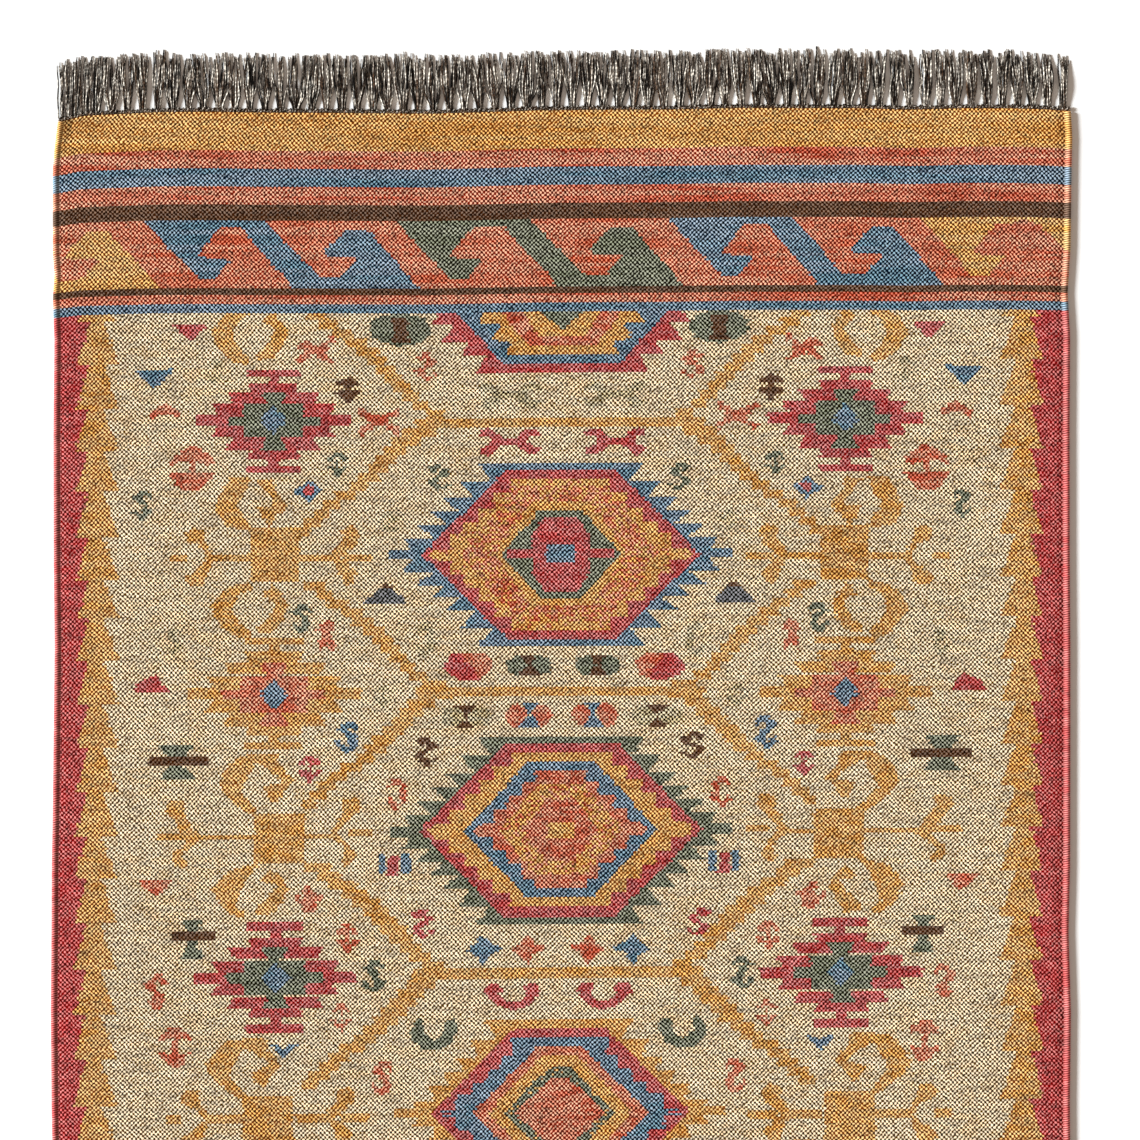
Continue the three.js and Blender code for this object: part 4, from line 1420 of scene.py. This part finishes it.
@dataclass
class WarpFringe:
    """The fringe at one end: a twined heading, and warp yarns hanging from it in tassels.

    Attributes:
        plan: the cloth that it ends
        end: which end it is at
        finish: what it is dressed in
        tassels: how many tassels hang at the end
        yarns: how many yarns a tassel has
        length: how far a yarn hangs from the cloth
        gap: the space left between the cloth and the heading
        heading_width: how wide the heading is
        root_half: half a tassel's width where it leaves the heading
        bend: where along its length a tassel has opened
        thickness: half a yarn's thickness
        sides: how many sides a yarn's section has
        rings: how many sections a yarn has
        caps: how far a yarn's round end stands out at its root and at its tip
        turn_shift: how far each yarn's twist is turned from the last one's, in turns
        seeds: the random seeds of the far and the near end
        lean: how much the tassels lean, as a deviation
        open_share: half the width of an open tassel, at least and at most, over the pitch
        stray: how much single yarns stray at their tips, as a deviation
        reach: how much shorter or longer single yarns are
        rise: how high the yarns arch over the floor at the left, and how much more at the right
        tone: the mean and the deviation of the yarns' shades, as logarithms
        odd: tassels that lean or differ in length, as number, lean and extra length
        cords: the two heading cords, each as its distance from the cloth's end, height, half
            thickness, how far it arches between the tassels, and tint
        ties: the two rows of ties over them, each as how many a tassel has, distance, size and
            tones as in _ties
    """

    plan: ClothPlan
    end: End
    finish: WarpYarn
    tassels: int = 66
    yarns: int = 12
    length: float = 79.0
    gap: float = 0.32
    heading_width: float = 7.0
    root_half: float = 4.0
    bend: float = 0.48
    thickness: float = 1.45
    sides: int = 5
    rings: int = 9
    caps: tuple = (0.6, 0.7)
    turn_shift: float = 0.37
    seeds: tuple = (11, 23)
    lean: float = 2.8
    open_share: tuple = (0.38, 0.56)
    stray: float = 2.7
    reach: tuple = (-9.0, 4.5)
    rise: tuple = (1.9, 1.2)
    tone: tuple = (-0.66, 0.74)
    odd: tuple = ((0, -1, 2), (1, -1.5, 1), (3, 2, -2), (6, 3, 4), (8, 2.5, -5), (22, -2, 3),
                  (37, 2, 1), (49, 2.5, 3), (58, 3, -1), (62, -1, -1), (63, -2, -4),
                  (64, -2.4, -6), (65, 3.5, -3))
    cords: tuple = ((1.9, 2.2, 1.5, 0.0, (2.0, 1.4, 0.8)), (4.0, 1.6, 1.1, 0.5, (1.5, 1.2, 0.9)))
    ties: tuple = ((3, 3.6, (2.6, 2.0, 2.7), (0.4, 1.6)), (5, 2.0, (1.6, 1.3, 2.9), (0.5, 12.0)))

    def build(self) -> bpy.types.Object:
        """Builds the fringe as one piece of yarns, knots and heading cord.

        Returns:
            The piece.
        """
        parts = [self._yarns(), *self._cords(),
                 *(self._ties(self.tassels * many, *row) for many, *row in self.ties)]
        before = np.cumsum([0] + [len(points) for points, *_ in parts[:-1]])
        quads = np.concatenate([part[1] + base for part, base in zip(parts, before)])
        points, uvs, tints = (np.concatenate([part[n] for part in parts]) for n in (0, 2, 3))
        name = f"fringe_{self.end.name.lower()}_yarns"
        piece = add_mesh(name, points, quads, "yarn", uvs, self.finish.material())
        mark_faces(piece, "tint", tints)
        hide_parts(f"fringe_{self.end.name.lower()}")
        return piece

    def _tubes(self, path: np.ndarray, radius: np.ndarray, tint: np.ndarray) -> tuple:
        """Carries a round section along many paths at once, and closes both ends.

        Args:
            path: the centre lines, as yarns by rings by three, in millimetres
            radius: the section's half thickness at each ring
            tint: the tint of each yarn
        Returns:
            The points, faces, UV corners and face tints.
        """
        count, rings = path.shape[:2]
        ahead = np.gradient(path, axis=1)
        ahead /= np.linalg.norm(ahead, axis=2, keepdims=True)
        up = np.broadcast_to(np.array([0.0, 0.0, 1.0]), ahead.shape)
        side = np.cross(ahead, up)
        side /= np.linalg.norm(side, axis=2, keepdims=True)
        lift = np.cross(side, ahead)
        angle = 2 * np.pi * np.arange(self.sides) / self.sides
        ring = (side[:, :, None] * np.cos(angle)[None, None, :, None]
                + lift[:, :, None] * np.sin(angle)[None, None, :, None])
        points = path[:, :, None] + ring * radius[:, :, None, None]
        poles = np.stack([path[:, 0] - ahead[:, 0] * self.caps[0],
                          path[:, -1] + ahead[:, -1] * self.caps[1]], axis=1)
        size = rings * self.sides
        every = np.concatenate([points.reshape(count, size, 3), poles], axis=1)
        faces, uv = self._tube_faces(rings)
        number = np.arange(count)[:, None, None]
        quads = faces + number * (size + 2)
        uvs = uv * (1.0, self.length / rings * MM) + number[..., None] * (self.turn_shift, 0.0)
        return (every.reshape(-1, 3), quads.reshape(-1, 4), uvs.reshape(-1, 2),
                np.repeat(tint, len(faces), axis=0))

    def _tube_faces(self, rings: int) -> tuple[np.ndarray, np.ndarray]:
        """One tube's faces and UV corners: u is turns around and v the ring number.

        An end face is a triangle about a pole, with the pole's number twice.

        Args:
            rings: how many sections the tube has
        Returns:
            Four vertex numbers a face, and two coordinates for each of its corners.
        """
        ring, side = np.divmod(np.arange((rings - 1) * self.sides), self.sides)
        after = (side + 1) % self.sides
        here, there = ring * self.sides, (ring + 1) * self.sides
        body = np.stack([here + side, here + after, there + after, there + side], axis=1)
        turn = np.stack([side, side + 1, side + 1, side], axis=1) / self.sides
        body_uv = np.stack([turn, np.stack([ring, ring, ring + 1, ring + 1], axis=1)], axis=2)
        spoke, after = side[:self.sides], after[:self.sides]
        last, pole = (rings - 1) * self.sides, np.full_like(spoke, rings * self.sides)
        first = np.stack([after, spoke, pole, pole], axis=1)
        final = np.stack([last + spoke, last + after, pole + 1, pole + 1], axis=1)
        cap_uv = np.zeros((2 * self.sides, 4, 2))
        cap_uv[self.sides:, :, 1] = rings - 1
        return np.concatenate([body, first, final]), np.concatenate([body_uv, cap_uv])

    def _yarns(self) -> tuple:
        """Lays the yarns: gathered at the heading, spread by the bend, then nearly straight.

        Returns:
            The points, faces, UV corners and face tints.
        """
        random = np.random.default_rng(self.seeds[self.end is End.NEAR])
        pitch = 2 * self.plan.half_width / self.tassels
        tassel = np.repeat(np.arange(self.tassels), self.yarns)
        yarn = np.tile(np.arange(self.yarns), self.tassels)
        count = tassel.size
        lean, extra = np.zeros(self.tassels), np.zeros(self.tassels)
        for number, tilt, more in self.odd:
            lean[number], extra[number] = tilt, more
        lean += random.normal(0.0, self.lean, self.tassels)
        wide = random.uniform(*self.open_share, self.tassels)
        wide -= 0.08 * (np.arange(self.tassels) > 50)
        wide[-1] *= 0.6
        open_half = pitch * wide[tassel][:, None]
        centre = -self.plan.half_width + (tassel + 0.5) * pitch
        place = (yarn - (self.yarns - 1) / 2) / ((self.yarns - 1) / 2)
        place = place + random.uniform(-0.2, 0.2, count)
        dense = (self.end is End.FAR) & ((tassel < 2) | ((tassel == 2) & (yarn < 3)))
        root_half = np.where(dense, pitch * 0.46, self.root_half)[:, None]
        open_half = np.where(dense[:, None], pitch * 0.47, open_half)
        s = np.linspace(0.0, 1.0, self.rings)[None, :]
        bend = self.bend * random.uniform(0.6, 1.5, self.tassels)[tassel][:, None]
        spread = smooth(s / bend)
        half = root_half + (open_half - root_half) * spread
        wave = (random.uniform(0.3, 1.5, count)[:, None]
                * np.sin(2 * np.pi * (s * random.uniform(0.7, 1.7, count)[:, None]
                                      + random.uniform(0, 1, count)[:, None])))
        stray = random.normal(0.0, self.stray, count)[:, None] * s ** 1.6
        across = (centre[:, None] + place[:, None] * half + lean[tassel][:, None] * s
                  + wave * spread + stray * np.where(dense, 0.5, 1.0)[:, None])
        reach = self.length + random.uniform(*self.reach, count) + extra[tassel]
        foot_x, foot_y = self.plan.end_line(centre, self.end)
        start = self.gap + self.heading_width * 0.45
        out = start + s * (reach[:, None] - start + self.heading_width)
        layer = random.permuted(np.tile(np.arange(self.yarns), (self.tassels, 1)), axis=1)
        upper = layer.ravel() % 2
        lap = upper[:, None] * (0.5 * (1 - spread) + 0.5)
        right = smooth((centre / self.plan.half_width - 0.2) / 0.6)[:, None]
        rise = self.rise[0] + self.rise[1] * right
        radius = self.thickness * (1 - 0.15 * s - 0.4 * s ** 8) * (
            random.uniform(0.8, 1.1, count) * (1.2 - 0.25 * upper))[:, None]
        path = np.stack([across + (foot_x - centre)[:, None],
                         foot_y[:, None] + self.end.value * out,
                         radius + lap + rise * np.sin(np.pi * s) ** 2], axis=2)
        return self._tubes(path, radius, self._tints(random, tassel, upper))

    def _tints(self, random: np.random.Generator, tassel: np.ndarray,
               upper: np.ndarray) -> np.ndarray:
        """Picks yarn tints: painted shade darkens the lower layer; a tassel's yarns are alike.

        Args:
            random: the fringe's random numbers
            tassel: the tassel's number of each yarn
            upper: 1 for each yarn of the upper layer, 0 for the lower
        Returns:
            A tint for each yarn.
        """
        # Painted shade: yarns of the lower layer, under the upper ones, get a far darker tint.
        tone = np.exp(random.normal(*self.tone, tassel.size)) * (0.35 + 0.95 * upper)
        tone = tone * np.exp(random.normal(0.0, 0.25, self.tassels))[tassel]
        warm = random.uniform(-0.06, 0.2, tassel.size)
        tint = np.stack([tone * (1 + warm), tone, tone * (1 - warm * 0.4)], axis=1)
        return np.clip(tint, 0.12, 3.2)

    def _ties(self, count: int, middle: float, size: tuple[float, float, float],
              tones: tuple[float, float]) -> tuple:
        """Ties a row of short fat tubes over the heading, each lying slantwise.

        Args:
            count: how many there are
            middle: how far outside the cloth's end they lie
            size: half the reach, the thickness and the height above the floor
            tones: how dark the darkest and how light the lightest is
        Returns:
            The points, faces, UV corners and face tints.
        """
        random = np.random.default_rng(count + self.end.value)
        half = self.plan.half_width * (1 - 1 / count)
        foot_x, foot_y = self.plan.end_line(np.linspace(-half, half, count), self.end)
        s = np.linspace(-1.0, 1.0, self.rings)[None, :]
        reach, thick, high = size
        arch = np.sqrt(np.clip(1 - s ** 2, 0.04, 1))
        scatter = random.uniform(0.75, 1.2, (count, 1))
        out = self.gap + middle + random.uniform(-0.4, 0.4, (count, 1)) + s * reach * scatter
        path = np.stack([foot_x[:, None] + s * random.uniform(0.5, 2.2, (count, 1)),
                         foot_y[:, None] + self.end.value * out,
                         np.broadcast_to(high + 1.1 * arch, out.shape)], axis=2)
        tone = np.exp(random.uniform(np.log(tones[0]), np.log(tones[1]), (count, 1)))
        return self._tubes(path, thick * (0.25 + 0.75 * arch) * scatter, tone * (1.15, 1.0, 0.85))

    def _cords(self) -> list[tuple]:
        """Runs the twined heading cords along the whole end, close to the cloth.

        The outer cord arches out between two tassels and in at each tassel's root.

        Returns:
            The points, faces, UV corners and face tints of the inner and the outer cord.
        """
        half = self.plan.half_width
        across = np.linspace(2 - half, half - 2, self.tassels * 6 + 1)
        foot_x, foot_y = self.plan.end_line(across, self.end)
        turn = 2 * np.pi * (across + half) * self.tassels / (2 * half)
        cords = []
        for out, height, radius, arch, tint in self.cords:
            y = foot_y + self.end.value * (self.gap + out + arch * np.cos(turn))
            path = np.stack([foot_x, y, height + 0.1 * np.sin(turn * 3)], axis=1)[None]
            cords.append(self._tubes(path, np.full((1, len(across)), radius), np.array([tint])))
        return cords


@dataclass
class Studio:
    """The floor, the light and the camera, none of it part of the rug.

    Attributes:
        centre: the middle of the picture on the floor, in millimetres
        picture_width: how wide the picture is there, in millimetres
        lens: the camera's focal length, in millimetres
        sensor: its sensor's width, in millimetres
        floor_reach: half the floor's width, in millimetres
        floor_drop: how far it is under the rug, in millimetres
        sun_direction: which way the sunlight goes
        sun_strength: how strong it is
        sun_colour: its red, green and blue
        sun_angle: how wide the sun is, in radians, so how soft the shadows are
        sky: how strong the sky is
        sky_colour: the colour that it lights the rug with
        wall_colour: what the camera sees behind the floor
    """

    centre: tuple = (12.3, 530.5)
    picture_width: float = 1710.0
    lens: float = 100.0
    sensor: float = 36.0
    floor_reach: float = 60000.0
    floor_drop: float = 0.3
    sun_direction: tuple = (0.85, -0.10, -0.40)
    sun_strength: float = 7.78
    sun_colour: tuple = (0.926, 0.975, 1.0)
    sun_angle: float = 0.24
    sky: float = 0.4
    sky_colour: tuple = (1.0, 0.82, 0.68, 1.0)
    wall_colour: tuple = (2.2, 2.2, 2.2, 1.0)

    def build(self) -> None:
        """Builds the floor, the lights and the camera."""
        self._floor()
        self._light()
        self._camera()
        view = bpy.context.scene.view_settings
        view.view_transform = "Standard"

    def _floor(self) -> None:
        """Lays a plain square floor just under the rug."""
        corners = [(across * self.floor_reach * MM, along * self.floor_reach * MM,
                    -self.floor_drop * MM) for across, along in block(-1, 1, -1, 1)]
        mesh = bpy.data.meshes.new("floor")
        mesh.from_pydata(corners, [], [(0, 1, 2, 3)])
        mesh.materials.append(FloorPaint().material())
        floor = bpy.data.objects.new("floor", mesh)
        bpy.context.scene.collection.objects.link(floor)

    def _light(self) -> None:
        """Sets a soft sun low on the left, and an even sky."""
        lamp = bpy.data.lights.new("window_light", "SUN")
        lamp.energy = self.sun_strength
        lamp.angle = self.sun_angle
        lamp.color = self.sun_colour
        sun = bpy.data.objects.new("window_light", lamp)
        sun.rotation_euler = Vector(self.sun_direction).to_track_quat("-Z", "Y").to_euler()
        bpy.context.scene.collection.objects.link(sun)
        world = bpy.data.worlds.new("studio")
        world.use_nodes = True
        sky = world.node_tree.nodes["Background"]
        rays = world.node_tree.nodes.new("ShaderNodeLightPath")
        seen = world.node_tree.nodes.new("ShaderNodeMix")
        seen.data_type = "RGBA"
        seen.inputs["A"].default_value = self.sky_colour
        seen.inputs["B"].default_value = self.wall_colour
        world.node_tree.links.new(seen.inputs["Factor"], rays.outputs["Is Camera Ray"])
        world.node_tree.links.new(sky.inputs["Color"], seen.outputs["Result"])
        sky.inputs["Strength"].default_value = self.sky
        bpy.context.scene.world = world

    def _camera(self) -> None:
        """Hangs the camera straight above the picture's centre."""
        data = bpy.data.cameras.new("camera")
        data.lens = self.lens
        data.sensor_width = self.sensor
        data.clip_end = 100.0
        camera = bpy.data.objects.new("camera", data)
        height = self.picture_width * self.lens / self.sensor
        camera.location = Vector((self.centre[0], self.centre[1], height)) * MM
        bpy.context.scene.collection.objects.link(camera)
        bpy.context.scene.camera = camera


def main() -> None:
    logging.basicConfig(level=logging.INFO, format="%(message)s")
    plan = ClothPlan()
    loom = Loom(plan)
    KilimPattern(loom).weave()
    cloth = KilimCloth(plan, WovenWool(plan)).build(loom.packed())
    LOG.info("%s: %d faces", cloth.name, len(cloth.data.polygons))
    yarn = WarpYarn()
    fringes = [WarpFringe(plan, end, yarn).build() for end in End]
    for fringe in fringes:
        LOG.info("%s: %d faces", fringe.name, len(fringe.data.polygons))
    Studio().build()


if __name__ == "__main__":
    main()
